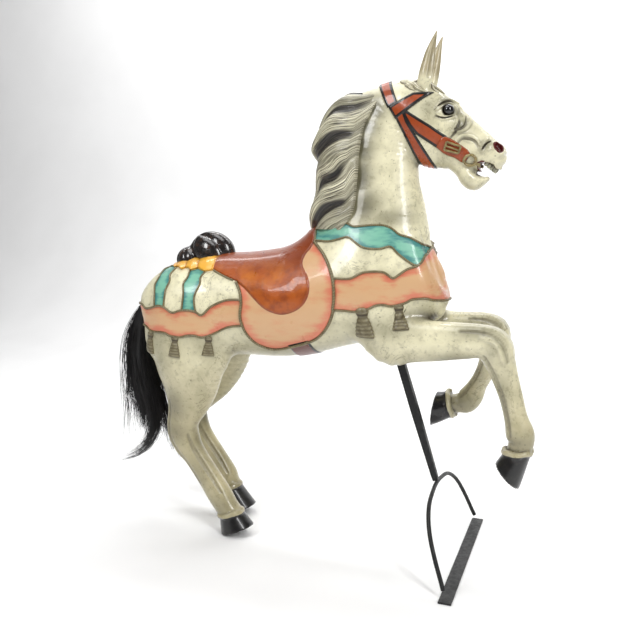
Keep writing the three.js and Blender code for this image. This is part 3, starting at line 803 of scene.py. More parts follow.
class Look:
    """A procedural material put together node by node."""

    def __init__(self, name, roughness=0.5, coat=0.0, coat_roughness=0.1, metallic=0.0):
        self.material = bpy.data.materials.new(name)
        self.material.use_nodes = True
        self.nodes, self.links = self.material.node_tree.nodes, self.material.node_tree.links
        self.surface = self.nodes["Principled BSDF"]
        for key, value in (("Roughness", roughness), ("Coat Weight", coat), ("Metallic", metallic),
                           ("Coat Roughness", coat_roughness)):
            self.surface.inputs[key].default_value = value
        self.place = self.nodes.new("ShaderNodeTexCoord").outputs["Object"]

    def put(self, socket, value):
        if hasattr(value, "is_output"):
            self.links.new(value, socket)
        elif isinstance(value, tuple) and len(value) == 3 and socket.type == "RGBA":
            socket.default_value = (*value, 1)
        else:
            socket.default_value = value

    def attribute(self, name, kind="Fac"):
        node = self.nodes.new("ShaderNodeAttribute")
        node.attribute_name = name
        return node.outputs[kind]

    def noise(self, scale, detail=3.0, roughness=0.55, distortion=0.0, place=None):
        node = self.nodes.new("ShaderNodeTexNoise")
        for key, value in (("Scale", scale), ("Detail", detail), ("Roughness", roughness),
                           ("Distortion", distortion)):
            node.inputs[key].default_value = value
        self.links.new(place or self.place, node.inputs["Vector"])
        return node.outputs["Fac"]

    def cells(self, scale, place=None, feature="DISTANCE_TO_EDGE"):
        node = self.nodes.new("ShaderNodeTexVoronoi")
        node.feature = feature
        node.inputs["Scale"].default_value = scale
        self.links.new(place or self.place, node.inputs["Vector"])
        return node.outputs["Distance"]

    def warped(self, scale, amount):
        """Object coordinates pushed about by noise."""
        node = self.nodes.new("ShaderNodeTexNoise")
        node.inputs["Scale"].default_value = scale
        node.inputs["Detail"].default_value = 2
        self.links.new(self.place, node.inputs["Vector"])
        shift = self.nodes.new("ShaderNodeVectorMath")
        shift.operation = "MULTIPLY_ADD"
        self.links.new(node.outputs["Color"], shift.inputs[0])
        shift.inputs[1].default_value = (amount, amount, amount)
        self.links.new(self.place, shift.inputs[2])
        return shift.outputs[0]

    def stretched(self, x, y, z):
        node = self.nodes.new("ShaderNodeVectorMath")
        node.operation = "MULTIPLY"
        self.links.new(self.place, node.inputs[0])
        node.inputs[1].default_value = (x, y, z)
        return node.outputs[0]

    def step(self, value, low, high, out_low=0.0, out_high=1.0):
        """A smooth step from out_low to out_high as the value goes from low to high."""
        node = self.nodes.new("ShaderNodeMapRange")
        node.interpolation_type = "SMOOTHSTEP"
        for key, number in (("From Min", low), ("From Max", high), ("To Min", out_low), ("To Max", out_high)):
            node.inputs[key].default_value = number
        self.put(node.inputs["Value"], value)
        return node.outputs["Result"]

    def math(self, operation, a, b=0.0):
        node = self.nodes.new("ShaderNodeMath")
        node.operation = operation
        self.put(node.inputs[0], a)
        self.put(node.inputs[1], b)
        return node.outputs[0]

    def mix(self, share, a, b, blend="MIX"):
        node = self.nodes.new("ShaderNodeMix")
        node.data_type = "RGBA"
        node.blend_type = blend
        self.put(node.inputs["Factor"], share)
        self.put(node.inputs[6], a)
        self.put(node.inputs[7], b)
        return node.outputs[2]

    def colour(self, value):
        self.put(self.surface.inputs["Base Color"], value)

    def rough(self, value):
        self.put(self.surface.inputs["Roughness"], value)

    def bump(self, *layers):
        """Bump from (height, distance in mm) layers, one over another."""
        normal = None
        for height, distance in layers:
            node = self.nodes.new("ShaderNodeBump")
            node.inputs["Strength"].default_value = 1.0
            node.inputs["Distance"].default_value = distance / 1000
            self.put(node.inputs["Height"], height)
            if normal is not None:
                self.links.new(normal, node.inputs["Normal"])
            normal = node.outputs["Normal"]
        self.links.new(normal, self.surface.inputs["Normal"])


IVORY = srgb(238, 232, 198)
IVORY_DIRT = srgb(134, 128, 92)
# The dark airbrush paint, also laid on as painted shade, and the olive of the painted shade towards the floor.
AIRBRUSH_AND_SHADE = srgb(64, 62, 46)
OLIVE_LOW_SHADE = srgb(150, 134, 88)
VEIN = srgb(78, 70, 46)
PINK_EDGE, PINK_MID = srgb(212, 116, 88), srgb(212, 170, 126)
TEAL_EDGE, TEAL_MID = srgb(66, 134, 132), srgb(126, 188, 164)
LEATHER, LEATHER_DARK, LEATHER_LIGHT = srgb(172, 82, 12), srgb(126, 50, 8), srgb(196, 110, 26)
STRAP, STRAP_DARK = srgb(158, 64, 12), srgb(12, 8, 6)
GIRTH_RED = srgb(92, 34, 20)
YELLOW, YELLOW_DARK = srgb(232, 172, 58), srgb(166, 104, 22)
# The cords' gilt paint, and the painted shade in the grooves of cords and tassels.
CORD, CORD_GROOVE_SHADE = srgb(158, 146, 104), srgb(62, 50, 28)
BLACK = srgb(9, 8, 8)
DARK_RED = srgb(84, 14, 12)


def horse_look():
    """Varnished paint on carved wood, with its colours laid out by the carving's own edges."""
    look = Look("painted_carving", roughness=0.34, coat=0.34, coat_roughness=0.06)
    cloud = look.noise(9, 4, 0.6, 0.4)
    speck = look.noise(55, 4, 0.6)
    dots = look.noise(120, 2, 0.5)
    marble = look.noise(11, 5, 0.62, 1.2)
    patch = look.step(look.noise(6.5, 2), 0.44, 0.62)
    # The ivory with its airbrush marks and painted shade comes from the tint attribute.
    ivory = look.mix(look.step(cloud, 0.38, 0.70, 0, 0.42), look.attribute("tint", "Color"), IVORY_DIRT)
    ivory = look.mix(look.step(speck, 0.50, 0.72, 0, 0.26), ivory, VEIN)
    ivory = look.mix(look.step(dots, 0.66, 0.74, 0, 0.5), ivory, VEIN)
    off_line = look.math("ABSOLUTE", look.math("SUBTRACT", marble, 0.5))
    lines = look.math("MULTIPLY", look.step(off_line, 0.0, 0.014, 0.5, 0), patch)
    ivory = look.mix(lines, ivory, VEIN)
    # Painted shade in hollows and creases, with the dark paint round the eyes.
    colour = look.mix(look.attribute("hollow_shade_and_eye_paint"), ivory, srgb(58, 50, 34))

    brush = look.noise(14, 4, 0.6, 0.0, look.stretched(1.0, 1.0, 3.5))

    def region(colour, name, paint, edge=0.0):
        return look.mix(look.step(look.attribute(name), edge - 0.5, edge + 0.5, 1, 0), colour, paint)

    def graded(name, edge_colour, mid_colour, reach=26):
        blurred = look.math("ADD", look.attribute(name), look.step(brush, 0.3, 0.7, -9, 9))
        paint = look.mix(look.step(blurred, -reach, -2, 0, 0.92), mid_colour, edge_colour)
        return look.mix(look.step(brush, 0.45, 0.75, 0, 0.3), paint, edge_colour)

    for name in ("stripes", "turquoise"):
        colour = region(colour, name, graded(name, TEAL_EDGE, TEAL_MID, 18))
    for name in ("rump_band", "chest_band"):
        colour = region(colour, name, graded(name, PINK_EDGE, PINK_MID))
    colour = region(colour, "flap", graded("flap", PINK_EDGE, PINK_MID, 40))
    mottled = look.mix(look.step(look.noise(30, 5, 0.65), 0.42, 0.68, 0, 0.75), LEATHER, LEATHER_DARK)
    mottled = look.mix(look.step(look.noise(10, 3), 0.46, 0.7, 0, 0.8), mottled, LEATHER_LIGHT)
    mottled = look.mix(look.step(look.attribute("saddle"), -16, 0, 0, 0.5), mottled, LEATHER_DARK)
    mottled = look.mix(look.attribute("seat"), mottled, srgb(124, 50, 14))
    colour = region(colour, "saddle", mottled)
    colour = region(colour, "strip", look.mix(look.attribute("rib_groove"), YELLOW, YELLOW_DARK))
    strap = look.mix(look.step(speck, 0.42, 0.7, 0, 0.5), STRAP, LEATHER_DARK)
    for name, border in (("girth", 7.0), ("bridle", 8.5), ("browband", 8.5), ("strap_end", 1.0)):
        paint = GIRTH_RED if name == "girth" else strap
        edged = look.mix(look.step(look.attribute(name), -border, 1 - border), paint, STRAP_DARK)
        colour = region(colour, name, edged)
    colour = region(colour, "nostril", look.mix(look.step(look.attribute("nostril"), -8, -4), BLACK, DARK_RED))
    colour = region(colour, "mouth", DARK_RED)
    colour = region(colour, "hoof", look.mix(look.step(speck, 0.5, 0.8, 0, 0.5), BLACK, srgb(52, 46, 40)))
    look.colour(colour)
    look.rough(look.step(cloud, 0.3, 0.8, 0.26, 0.44))
    leather = look.step(look.attribute("saddle"), -1, 1, 1, 0)
    grain = look.math("MULTIPLY", look.noise(210, 3, 0.6), leather)
    look.bump((look.noise(26, 3), 1.6), (look.noise(150, 2), 0.16), (grain, 0.9))
    return look.material


def plain_look(name, light, dark, scale=60, roughness=0.4, coat=0.3, bump_mm=0.4, metallic=0.0):
    """Paint with a little colour variation and surface unevenness."""
    look = Look(name, roughness, coat, 0.08, metallic)
    spots = look.noise(scale, 4, 0.6)
    look.colour(look.mix(look.step(spots, 0.35, 0.7), light, dark))
    look.rough(look.step(look.noise(scale * 0.4, 2), 0.3, 0.7, roughness * 0.75, roughness * 1.25))
    look.bump((spots, bump_mm), (look.noise(scale * 5, 2), bump_mm * 0.3))
    return look.material


def carved_look(name, light, dark, groove_shade, roughness=0.35, coat=0.4):
    """Paint with painted shade in its grooves, given by the groove attribute."""
    look = Look(name, roughness, coat, 0.08)
    spots = look.noise(70, 4, 0.6)
    paint = look.mix(look.step(spots, 0.4, 0.7), light, dark)
    look.colour(look.mix(look.attribute("groove"), paint, groove_shade))
    look.bump((look.noise(160, 3), 0.5))
    return look.material


def hair_look():
    look = Look("horsehair", 0.46, 0.0, 0.2)
    shade = look.mix(look.attribute("groove"), srgb(5, 4, 5), srgb(30, 26, 27))
    look.colour(shade)
    look.bump((look.noise(900, 2), 0.05))
    return look.material


def steel_look():
    look = Look("black_painted_steel", 0.5, 0.0, 0.2)
    worn = look.step(look.noise(45, 5, 0.65), 0.66, 0.76, 0, 0.5)
    look.colour(look.mix(worn, srgb(7, 7, 8), srgb(36, 32, 29)))
    look.rough(look.step(look.noise(80, 3), 0.3, 0.7, 0.4, 0.62))
    look.bump((look.noise(300, 3), 0.25))
    return look.material


# ---- The horse ---------------------------------------------------------------------------------------
def hoof_edge(p):
    """Signed distance to the hooves' hairlines, negative on the hoof."""
    edge = np.full(len(p), 60.0)
    for hoof in HOOVES:
        shape = Hoof(*hoof)
        near = np.all((p > shape.low) & (p < shape.high), axis=1)
        centre, normal = shape.lines[0]
        edge[near] = np.minimum(edge[near], -((side_view(p[near]) - centre) @ normal))
    return edge


def blot(p, centre, radii, strength):
    """A soft round mark on both sides of the horse."""
    q = (np.column_stack([p[:, 0], np.abs(p[:, 1]), p[:, 2]]) - centre) / radii
    return strength * np.exp(-np.einsum("ij,ij->i", q, q))


# Airbrushed dark paint, with painted shade under the belly and chest: centre, reach, strength.
SHADES = [
    ((-190, 130, 640), (50, 80, 130), 0.45), ((-70, 120, 690), (60, 80, 60), 0.35),
    ((-140, 100, 440), (50, 70, 70), 0.75), ((-140, 88, 350), (44, 60, 50), 0.80),
    ((-60, 88, 330), (34, 60, 60), 0.55), ((-60, 88, 210), (45, 60, 70), 0.40),
    ((20, 88, 100), (60, 60, 40), 0.6), ((-20, 120, 660), (90, 60, 60), 0.35),
    ((526, 60, 1392), (44, 70, 50), 0.92), ((505, 64, 1340), (50, 70, 50), 0.9),
    ((494, 70, 1280), (42, 70, 70), 0.98), ((490, 80, 1190), (44, 70, 80), 0.98),
    ((500, 90, 1110), (64, 70, 60), 0.95), ((590, 90, 1072), (90, 70, 30), 0.60),
    ((600, 120, 740), (80, 60, 40), 0.5), ((850, 92, 748), (80, 70, 26), 0.75),
    ((905, 110, 700), (26, 50, 50), 0.5), ((800, 92, 662), (120, 60, 26), 0.7),
    ((940, 92, 540), (22, 60, 130), 0.45), ((985, 92, 430), (50, 60, 30), 0.75),
    ((850, 92, 590), (34, 60, 60), 0.5), ((790, 92, 480), (40, 60, 40), 0.7),
    ((300, 60, 640), (300, 130, 50), 0.55), ((560, 60, 690), (90, 110, 50), 0.4),
]


def face_shades(p):
    q = face_view(p)
    q = np.column_stack([q[:, 0], np.abs(p[:, 1]), q[:, 1]])
    # Airbrushed dark paint round the eye, brow, cheek and nostril, and painted shade under the jaw and chin:
    # centre, reach, strength.
    marks = [((84, 50, -14), (26, 34, 26), 0.85), ((132, 44, -16), (26, 30, 16), 0.75),
             ((164, 44, -40), (16, 34, 34), 0.85), ((60, 50, -60), (34, 60, 40), 0.5),
             ((30, 50, -90), (50, 60, 60), 0.30), ((256, 40, -34), (16, 30, 26), 0.7),
             ((200, 40, -56), (20, 20, 16), 0.3), ((120, 20, -190), (120, 40, 40), 0.45),
             ((290, 20, -150), (40, 40, 20), 0.4)]
    total = np.zeros(len(p))
    for centre, radii, strength in marks:
        d = (q - centre) / radii
        total = np.maximum(total, strength * np.exp(-np.einsum("ij,ij->i", d, d)))
    return total


def ivory_airbrush_and_shade(p, normals):
    """The ivory paint's colour at each point, darker where it is airbrushed, with painted shade on faces turned
    down, under the belly and jaw, and towards the floor.
    """
    dark = np.zeros(len(p))
    for centre, reach, strength in SHADES:
        dark = np.maximum(dark, blot(p, np.array(centre), np.array(reach), strength))
    dark = np.maximum(dark, face_shades(p))
    # Painted shade on faces that turn down.
    dark = np.maximum(dark, 0.4 * np.clip(-normals[:, 2], 0, 1))
    dark = np.clip(dark, 0, 0.95)[:, None]
    # Painted shade: the paint turns darker and more olive towards the floor.
    low = 0.62 * smoothstep(-p[:, 2], -800, -330)[:, None]
    ivory = np.array(IVORY) * (1 - low) + np.array(OLIVE_LOW_SHADE) * low
    ivory = ivory * (1 - dark) + np.array(AIRBRUSH_AND_SHADE) * dark
    ears = smoothstep(p[:, 2], 1465, 1500)[:, None]
    return ivory * (1 - ears) + np.array(srgb(170, 158, 126)) * ears


def eye_line(p):
    """Dark paint round the eyes."""
    u, v, y = EYE
    d = np.linalg.norm(np.column_stack([p[:, 0], np.abs(p[:, 1]), p[:, 2]]) - on_head(u, v, y + 6), axis=1)
    return 0.9 * np.exp(-(np.maximum(d - EYE_RADIUS, 0) / 4.0) ** 2)


def region_attributes(p, normals):
    """Signed distances to the painted regions' edges, and the paint's own colour with its painted shade."""
    q = side_view(p)
    off = 1000.0 * ((p[:, 2] > 1080) | (p[:, 2] < 590))
    # Painted shade: how closed in the surface is, broadly and finely, darkens hollows and creases.
    cavity = np.clip(1 - figure(p + 16 * normals) / 16, 0, 1)
    crease = np.clip(1 - figure(p + 5 * normals) / 5, 0, 1)
    near_nose = np.full(len(p), 60.0)
    for side in (-1, 1):
        for u, v, size in ((278, -8, 13), (286, -11, 14.5), (293, -14, 12)):
            near_nose = np.minimum(near_nose, np.linalg.norm(p - on_head(u, v, side * 36), axis=1) - size)
    face = face_view(p)
    inside_mouth = np.maximum(unhollowed(p) + 2.5, 262 - face[:, 0]) + 50 * (p[:, 2] < 1100)
    rim = np.maximum(mouth.distance(face) - 4.0, np.minimum(face[:, 1] + 82, face[:, 0] - 284))
    inside_mouth = np.minimum(inside_mouth, rim)
    return {
        "seat": 0.8 * smoothstep(p[:, 2], 880, 950), "tint": ivory_airbrush_and_shade(p, normals), "hollow_shade_and_eye_paint": np.clip(0.75 * cavity ** 1.5 + 0.9 * crease + eye_line(p), 0, 0.95),
        "rump_band": rump_band.distance(q) + off, "chest_band": chest_band.distance(q) + off,
        "stripes": np.minimum(*[s.distance(q) for s in stripes]) + off,
        "turquoise": turquoise_band.distance(q) + off, "flap": flap.distance(q) + off,
        "saddle": saddle.distance(q) + off, "strip": strip.distance(q) + off, "rib_groove": 1 - smoothstep(block_bulge(p), 0.1, 0.55),
        "girth": girth.distance(q) + np.where(p[:, 2] > 720, 1000, 0),
        "bridle": bridle_under(face), "browband": browband.distance(face),
        "strap_end": strap_end.distance(face), "nostril": near_nose, "mouth": inside_mouth, "hoof": hoof_edge(p),
    }


def horse_pieces():
    look = horse_look()
    plane = np.array([0.90, 0, 0.435])
    neck_cut = np.array([556, 0, 1462])

    def past_neck(p):
        return np.where(p[:, 2] > 1060, (p - neck_cut) @ plane, -50)

    vertices, faces = mesh_form(carved, (-334, -176, -12), (1044, 176, 1500), BODY_CELL,
                                lambda c: past_neck(c) < 5)
    normals = gradient(carved, vertices, 0.5 * BODY_CELL)
    attributes = region_attributes(vertices, normals)
    centre = vertices[faces].mean(1)[:, 0]
    for name, chosen in (("horse_rear", centre < 135), ("horse_front", centre >= 135)):
        part(name, vertices, faces[chosen], normals, attributes, look)
    body = (vertices, faces, attributes)
    vertices, faces = mesh_form(carved, (480, -120, 1060), (940, 120, 1614), HEAD_CELL,
                                lambda c: past_neck(c) > -5)
    normals = gradient(carved, vertices, 0.6 * HEAD_CELL)
    part("horse_head", vertices, faces, normals, region_attributes(vertices, normals), look)
    return body


def part(name, vertices, faces, normals, attributes, look):
    """One piece of the horse from some of a mesh's faces."""
    used = np.unique(faces)
    number = np.zeros(len(vertices), np.int64)
    number[used] = np.arange(len(used))
    chosen = {key: values[used] for key, values in attributes.items()}
    piece = make_piece(name, vertices[used], number[faces], look, "painted_wood", chosen, normals[used])
    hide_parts("horse")


# ---- Cords along the cloths' edges -------------------------------------------------------------------
def contour(vertices, faces, values, keep):
    """Chains of points where the values on a mesh are zero, with `keep` choosing points."""
    triangles = np.vstack([faces[:, [0, 1, 2]], faces[:, [0, 2, 3]]])
    signs = values[triangles] < 0
    triangles = triangles[signs.any(1) & ~signs.all(1)]
    points, links = {}, {}
    for triangle in triangles:
        ends = []
        for a, b in ((0, 1), (1, 2), (2, 0)):
            i, j = sorted((int(triangle[a]), int(triangle[b])))
            if (values[i] < 0) != (values[j] < 0):
                t = values[i] / (values[i] - values[j])
                points[(i, j)] = vertices[i] + (vertices[j] - vertices[i]) * t
                ends.append((i, j))
        if len(ends) == 2 and keep((points[ends[0]] + points[ends[1]]) / 2):
            for first, second in (ends, ends[::-1]):
                links.setdefault(first, []).append(second)
    chains, seen = [], set()
    for start in sorted(links, key=lambda key: (len(links[key]), key)):
        if start in seen:
            continue
        chain, here = [start], start
        seen.add(start)
        while True:
            following = [key for key in links[here] if key not in seen]
            if not following:
                break
            here = following[0]
            seen.add(here)
            chain.append(here)
        closed = len(chain) > 8 and start in links[here]
        if len(chain) > 8:
            chains.append((np.array([points[key] for key in chain]), closed))
    return chains


def relaxed(path, closed, rounds=4):
    """The path with its small wiggles taken out."""
    path = np.array(path)
    for _ in range(rounds):
        if closed:
            path = (np.roll(path, 1, 0) + 2 * path + np.roll(path, -1, 0)) / 4
        else:
            path[1:-1] = (path[:-2] + 2 * path[1:-1] + path[2:]) / 4
    return path


CORD_RADIUS = 3.9
CORD_TWIST = 0.55                         # turns of the strands for every cord width along it


def cord(batch, path, closed=False, radius=CORD_RADIUS, sink=0.35):
    """A carved twisted cord lying on the horse along a path."""
    if closed:
        path = np.vstack([path, path[:1]])
    path = resample(relaxed(path, False), 2.4)
    if closed:
        path = path[:-1]
    if len(path) < 6:
        return
    path = settle(carved, path, 0.0, 2).astype(float)
    path = relaxed(path, closed, 2)
    outward = gradient(carved, path, 2.0).astype(float)
    path += outward * radius * (1 - sink)
    turn = 2 * np.pi * CORD_TWIST * 2.4 / (2 * radius)

    def strands(i, angle):
        return 1 + 0.16 * np.cos(2 * (angle + turn * i))

    sides = 10
    vertices, faces = tube(path, outward, radius, radius, sides, strands, closed)
    i = np.arange(len(path))[:, None]
    angle = 2 * np.pi * (np.arange(sides) + 0.5)[None] / sides
    # Painted shade in the grooves between the twisted strands.
    groove = 0.5 - 0.5 * np.cos(2 * (angle + turn * i))
    batch.add(vertices, faces, groove=groove.ravel())


def region_cords(body):
    """Cords round the cloths, the stripes and the flap."""
    vertices, faces, values = body
    batch = Batch()

    def shown(*covers, low=590, high=1080):
        def test(q):
            p = q[None]
            clear = all(cover.distance(side_view(p))[0] > 2 for cover in covers)
            return clear and low < q[2] < high
        return test

    edges = [
        ("flap", shown(saddle), 1.15), ("rump_band", shown(flap, saddle), 0.9),
        ("chest_band", shown(flap, saddle), 0.9), ("turquoise", shown(flap, saddle, chest_band), 0.85),
        ("stripes", shown(saddle, strip, rump_band), 0.75), ("saddle", shown(strip, flap), 0.8),
    ]
    for name, keep, size in edges:
        for path, closed in contour(vertices, faces, values[name], keep):
            cord(batch, path, closed, CORD_RADIUS * size)
    gold = carved_look("gilded_cord", CORD, srgb(120, 108, 70), CORD_GROOVE_SHADE, 0.42, 0.3)
    batch.piece("cloth_cords", gold, "painted_wood")


# ---- Tassels -----------------------------------------------------------------------------------------
# Knot and hem of each on the right side as [x, y, z], hem half width.
TASSELS = [
    ([-221, -131, 690], [-232, -122, 616], 21), ([-117, -150, 685], [-120, -150, 614], 21),
    ([1, -138, 688], [-3, -140, 622], 20), ([521, -144, 806], [528, -128, 714], 33),
    ([629, -124, 820], [640, -134, 741], 24),
]


def tassel(batch, knot, hem, half_width):
    """A knot, a neck and a fringed skirt that widens to its hem, lying on the body."""
    knot, hem = np.array(knot, float), np.array(hem, float)
    t = np.linspace(0, 1, 26)
    path = knot + (hem - knot) * t[:, None]
    drop = np.array([0, 0, 0.0])
    outward = gradient(carved, path + drop, 4.0).astype(float)
    path = settle(carved, path, 0.0, 3).astype(float)
    neck = half_width * 0.34
    profile = [0.3, 0.55, 0.62, 0.5, 0.46, 0.6, 0.85, 1.05]
    width = np.interp(t, [0, 0.05, 0.16, 0.27, 0.32, 0.42, 0.7, 1], profile) * half_width
    height = np.interp(t, [0, 0.1, 0.25, 0.32, 0.45, 0.8, 1], [0.5, 1.2, 0.9, 0.75, 1.2, 1.2, 0.9]) * neck
    path += outward * 2.5
    sides = 44

    def threads(i, angle):
        ridge = 0.06 * np.cos(22 * angle) + 0.05 * np.cos(i * 1.9) * (i > 9)
        return 1 + ridge * (i > 2)

    vertices, faces = tube(path, outward, width, height, sides, threads)
    i = np.arange(len(path))[:, None]
    angle = 2 * np.pi * (np.arange(sides) + 0.5)[None] / sides
    # Painted shade in the grooves between the net's threads, and a dark band at the neck.
    net = np.clip(0.45 - 0.35 * np.cos(22 * angle) - 0.3 * np.cos(i * 1.9), 0, 1)
    collar = np.exp(-((t[:, None] - 0.23) / 0.05) ** 2)
    batch.add(vertices, faces, groove=np.clip(net + collar, 0, 1).ravel())


def tassels():
    batch = Batch()
    for knot, hem, half_width in TASSELS:
        for side in (1, -1):
            flip = np.array([1, side, 1])
            tassel(batch, np.array(knot) * flip, np.array(hem) * flip, half_width)
    gold = carved_look("gilded_tassel", srgb(152, 144, 112), srgb(112, 102, 72), CORD_GROOVE_SHADE, 0.5, 0.2)
    batch.piece("tassels", gold, "painted_wood")


# ---- Cantle ------------------------------------------------------------------------------------------
def cantle():
    """The carved roll behind the seat: a tall lobed knob and a small fluted one behind it."""
    low, high = np.array([-210, -75, 905]), np.array([50, 75, 1040])

    def lobed(p, centre, radii, count, depth, lean):
        q = (p - centre) / radii
        around = np.arctan2(q[:, 1], q[:, 0] * 0.9 + q[:, 2] * lean)
        k = np.linalg.norm(q, axis=1)
        groove = depth * np.abs(np.cos(count * around)) ** 0.7
        return (k - 1 - groove + depth) * min(radii)

    def roll(p):
        p = np.asarray(p, float)
        big = lobed(p, np.array([-54, 0, 948]), np.array([86, 54, 74]), 2.0, 0.16, 0.62)
        small = lobed(p, np.array([-132, 0, 925]), np.array([54, 50, 46]), 5.0, 0.06, 0.2)
        f = soft_min(big, small, 8)
        return np.maximum(f, 900 - p[:, 2]).astype(np.float32)

    vertices, faces = mesh_form(roll, low, high, 3.0)
    normals = gradient(roll, vertices, 2.0)
    # How closed in the surface is, a painted-shade mask kept as the groove attribute; the varnish does not read
    # it.
    hollow = np.clip(1 - roll(vertices + 9 * normals) / 9, 0, 1)
    varnish = Look("dark_varnish", 0.16, 0.9, 0.05)
    worn = varnish.step(varnish.noise(46, 4, 0.65), 0.5, 0.7, 0, 0.8)
    varnish.colour(varnish.mix(worn, srgb(22, 16, 14), srgb(70, 44, 26)))
    varnish.rough(varnish.step(varnish.noise(60, 3), 0.3, 0.7, 0.12, 0.34))
    varnish.bump((varnish.noise(40, 3), 2.0), (varnish.noise(160, 2), 0.3))
    make_piece("cantle_roll", vertices, faces, varnish.material, "painted_wood", {"groove": hollow})


# ---- Mane and forelock -------------------------------------------------------------------------------
# Edges from the poll down to the withers: front as [x, y out, z], back as [x, z].
MANE_FRONT = [[556, 16, 1440], [540, 34, 1425], [516, 48, 1382], [498, 58, 1345], [486, 70, 1285],
              [481, 80, 1205], [478, 88, 1116], [464, 93, 1066], [436, 92, 1034]]
MANE_BACK = [[520, 1443], [470, 1447], [437, 1448], [404, 1433], [370, 1401], [343, 1357], [328, 1320],
             [317, 1280], [326, 1254], [334, 1235], [333, 1181], [330, 1145], [318, 1115], [313, 1075],
             [315, 1036]]
MANE_LENGTH = 430.0
LOCK_SPACING = 94.0
LOCK_START = 118.0                        # first hollow between locks, along the flow
HAIR_DROP = [[0, 0], [0.1, 34], [0.3, 66], [0.6, 104], [0.8, 136], [1.0, 190]]


def evenly(rows, count):
    path = smooth_rows(rows, 8)
    length = np.concatenate([[0], np.cumsum(np.linalg.norm(np.diff(path, axis=0), axis=1))])
    at = np.linspace(0, length[-1], count)
    return np.column_stack([np.interp(at, length, path[:, k]) for k in range(path.shape[1])])


def hair_flow(a, b):
    """Which hair a spot of the mane belongs to, as a distance down the mane's front edge."""
    drop = np.interp(b, *np.array(HAIR_DROP).T)
    wave = 7 * np.sin(2 * np.pi * (a * 2.3 + b * 0.8))
    return MANE_LENGTH * a - drop + wave


def hollows(flow, b, side):
    """Depth, 0 to 1, of the hollows between locks; every second one is shallow."""
    turn = (flow - LOCK_START) / LOCK_SPACING + (0.35 if side > 0 else 0)
    valley = (0.5 + 0.5 * np.cos(2 * np.pi * turn)) ** 3.2
    main = np.where(np.abs(np.round(turn)) % 2 < 0.5, 1.0, 0.6)
    reach = np.sin(np.pi * np.clip((b - 0.05) / 0.85, 0, 1)) ** 0.8
    return valley * main * reach


def mane_half(side, rows, columns):
    """Grid points and their flow values over one side of the mane."""
    front, back = evenly(MANE_FRONT, rows), evenly(MANE_BACK, rows)
    b = np.concatenate([[-0.02, 0.0], np.linspace(0.012, 1, columns)])[None]
    a = np.linspace(0, 1, rows)[:, None]
    turn = np.clip(b, 0, 1) * np.pi / 2
    reach, bulge = np.sin(turn) ** 0.9, np.cos(turn) ** 0.85
    x = front[:, :1] + (back[:, :1] - front[:, :1]) * reach
    z = front[:, 2:] + (back[:, 1:] - front[:, 2:]) * reach
    puff = 13 * np.minimum(1, 8 * a) * np.minimum(1, 12 * (1 - a) + 0.35)
    y = (front[:, 1:2] + puff) * bulge
    flow = hair_flow(a, b)
    hollow = hollows(flow, b, side)
    fine = np.sin(2 * np.pi * flow / 7.5) + 0.7 * np.sin(2 * np.pi * flow / 4.3 + 3 * b)
    swell = 4.5 * np.cos(2 * np.pi * (flow - LOCK_START) / LOCK_SPACING)
    depth = 11 * hollow + swell - 0.55 * fine
    y = y - depth * bulge
    x = x + depth * reach * np.minimum(1, 3 * a)
    y[:, 0] -= 26
    x[:, 0] += 3
    points = np.stack([x, side * np.maximum(y, 0), z], -1)
    return points, np.broadcast_to(flow, x.shape), np.broadcast_to(b, x.shape), hollow


def mane_look():
    """Carved hair: pale paint with grey and black along the strands, and painted shade in the hollows between
    the locks.
    """
    look = Look("carved_mane", 0.34, 0.4, 0.1)
    place = look.nodes.new("ShaderNodeCombineXYZ")
    look.put(place.inputs[0], look.math("MULTIPLY", look.attribute("flow"), 0.30))
    look.put(place.inputs[1], look.math("MULTIPLY", look.attribute("across"), 2.2))
    look.put(place.inputs[2], look.attribute("lift"))
    streaks = look.noise(1.0, 5, 0.62, 0.2, place.outputs[0])
    broad = look.noise(0.16, 3, 0.5, 0.3, place.outputs[0])
    paint = look.mix(look.step(streaks, 0.38, 0.60), srgb(236, 231, 202), srgb(118, 112, 88))
    paint = look.mix(look.step(streaks, 0.52, 0.64, 0, 0.95), paint, srgb(26, 21, 18))
    paint = look.mix(look.step(broad, 0.42, 0.62, 0, 0.6), paint, srgb(104, 100, 80))
    # Painted shade for the hollows between the locks, blacker along the streaks.
    dark = look.mix(look.step(streaks, 0.35, 0.6), srgb(70, 64, 54), srgb(10, 8, 8))
    look.colour(look.mix(look.step(look.attribute("hollow"), 0.05, 0.42), paint, dark))
    look.bump((look.math("MULTIPLY", streaks, -1.0), 2.2), (look.noise(200, 2), 0.2))
    return look.material


def mane():
    """The mane, falling on both sides from the crest, and the tuft between the ears."""
    rows, columns = ((330, 96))
    right, left = mane_half(-1, rows, columns), mane_half(1, rows, columns)
    points, flow, across, hollow = (
        np.concatenate([r, l[:, ::-1][:, 1:]], axis=1) for r, l in zip(right, left))
    width = points.shape[1]
    faces = grid_faces(rows, width, True)
    faces += [list(range(width))[::-1], [(rows - 1) * width + j for j in range(width)]]
    lift = np.sign(points[..., 1]) * 3.0
    attributes = {"flow": flow.ravel(), "across": across.ravel(), "hollow": hollow.ravel(), "lift": lift.ravel()}
    make_piece("mane", points.reshape(-1, 3), faces, mane_look(), "painted_wood", attributes)
    forelock()


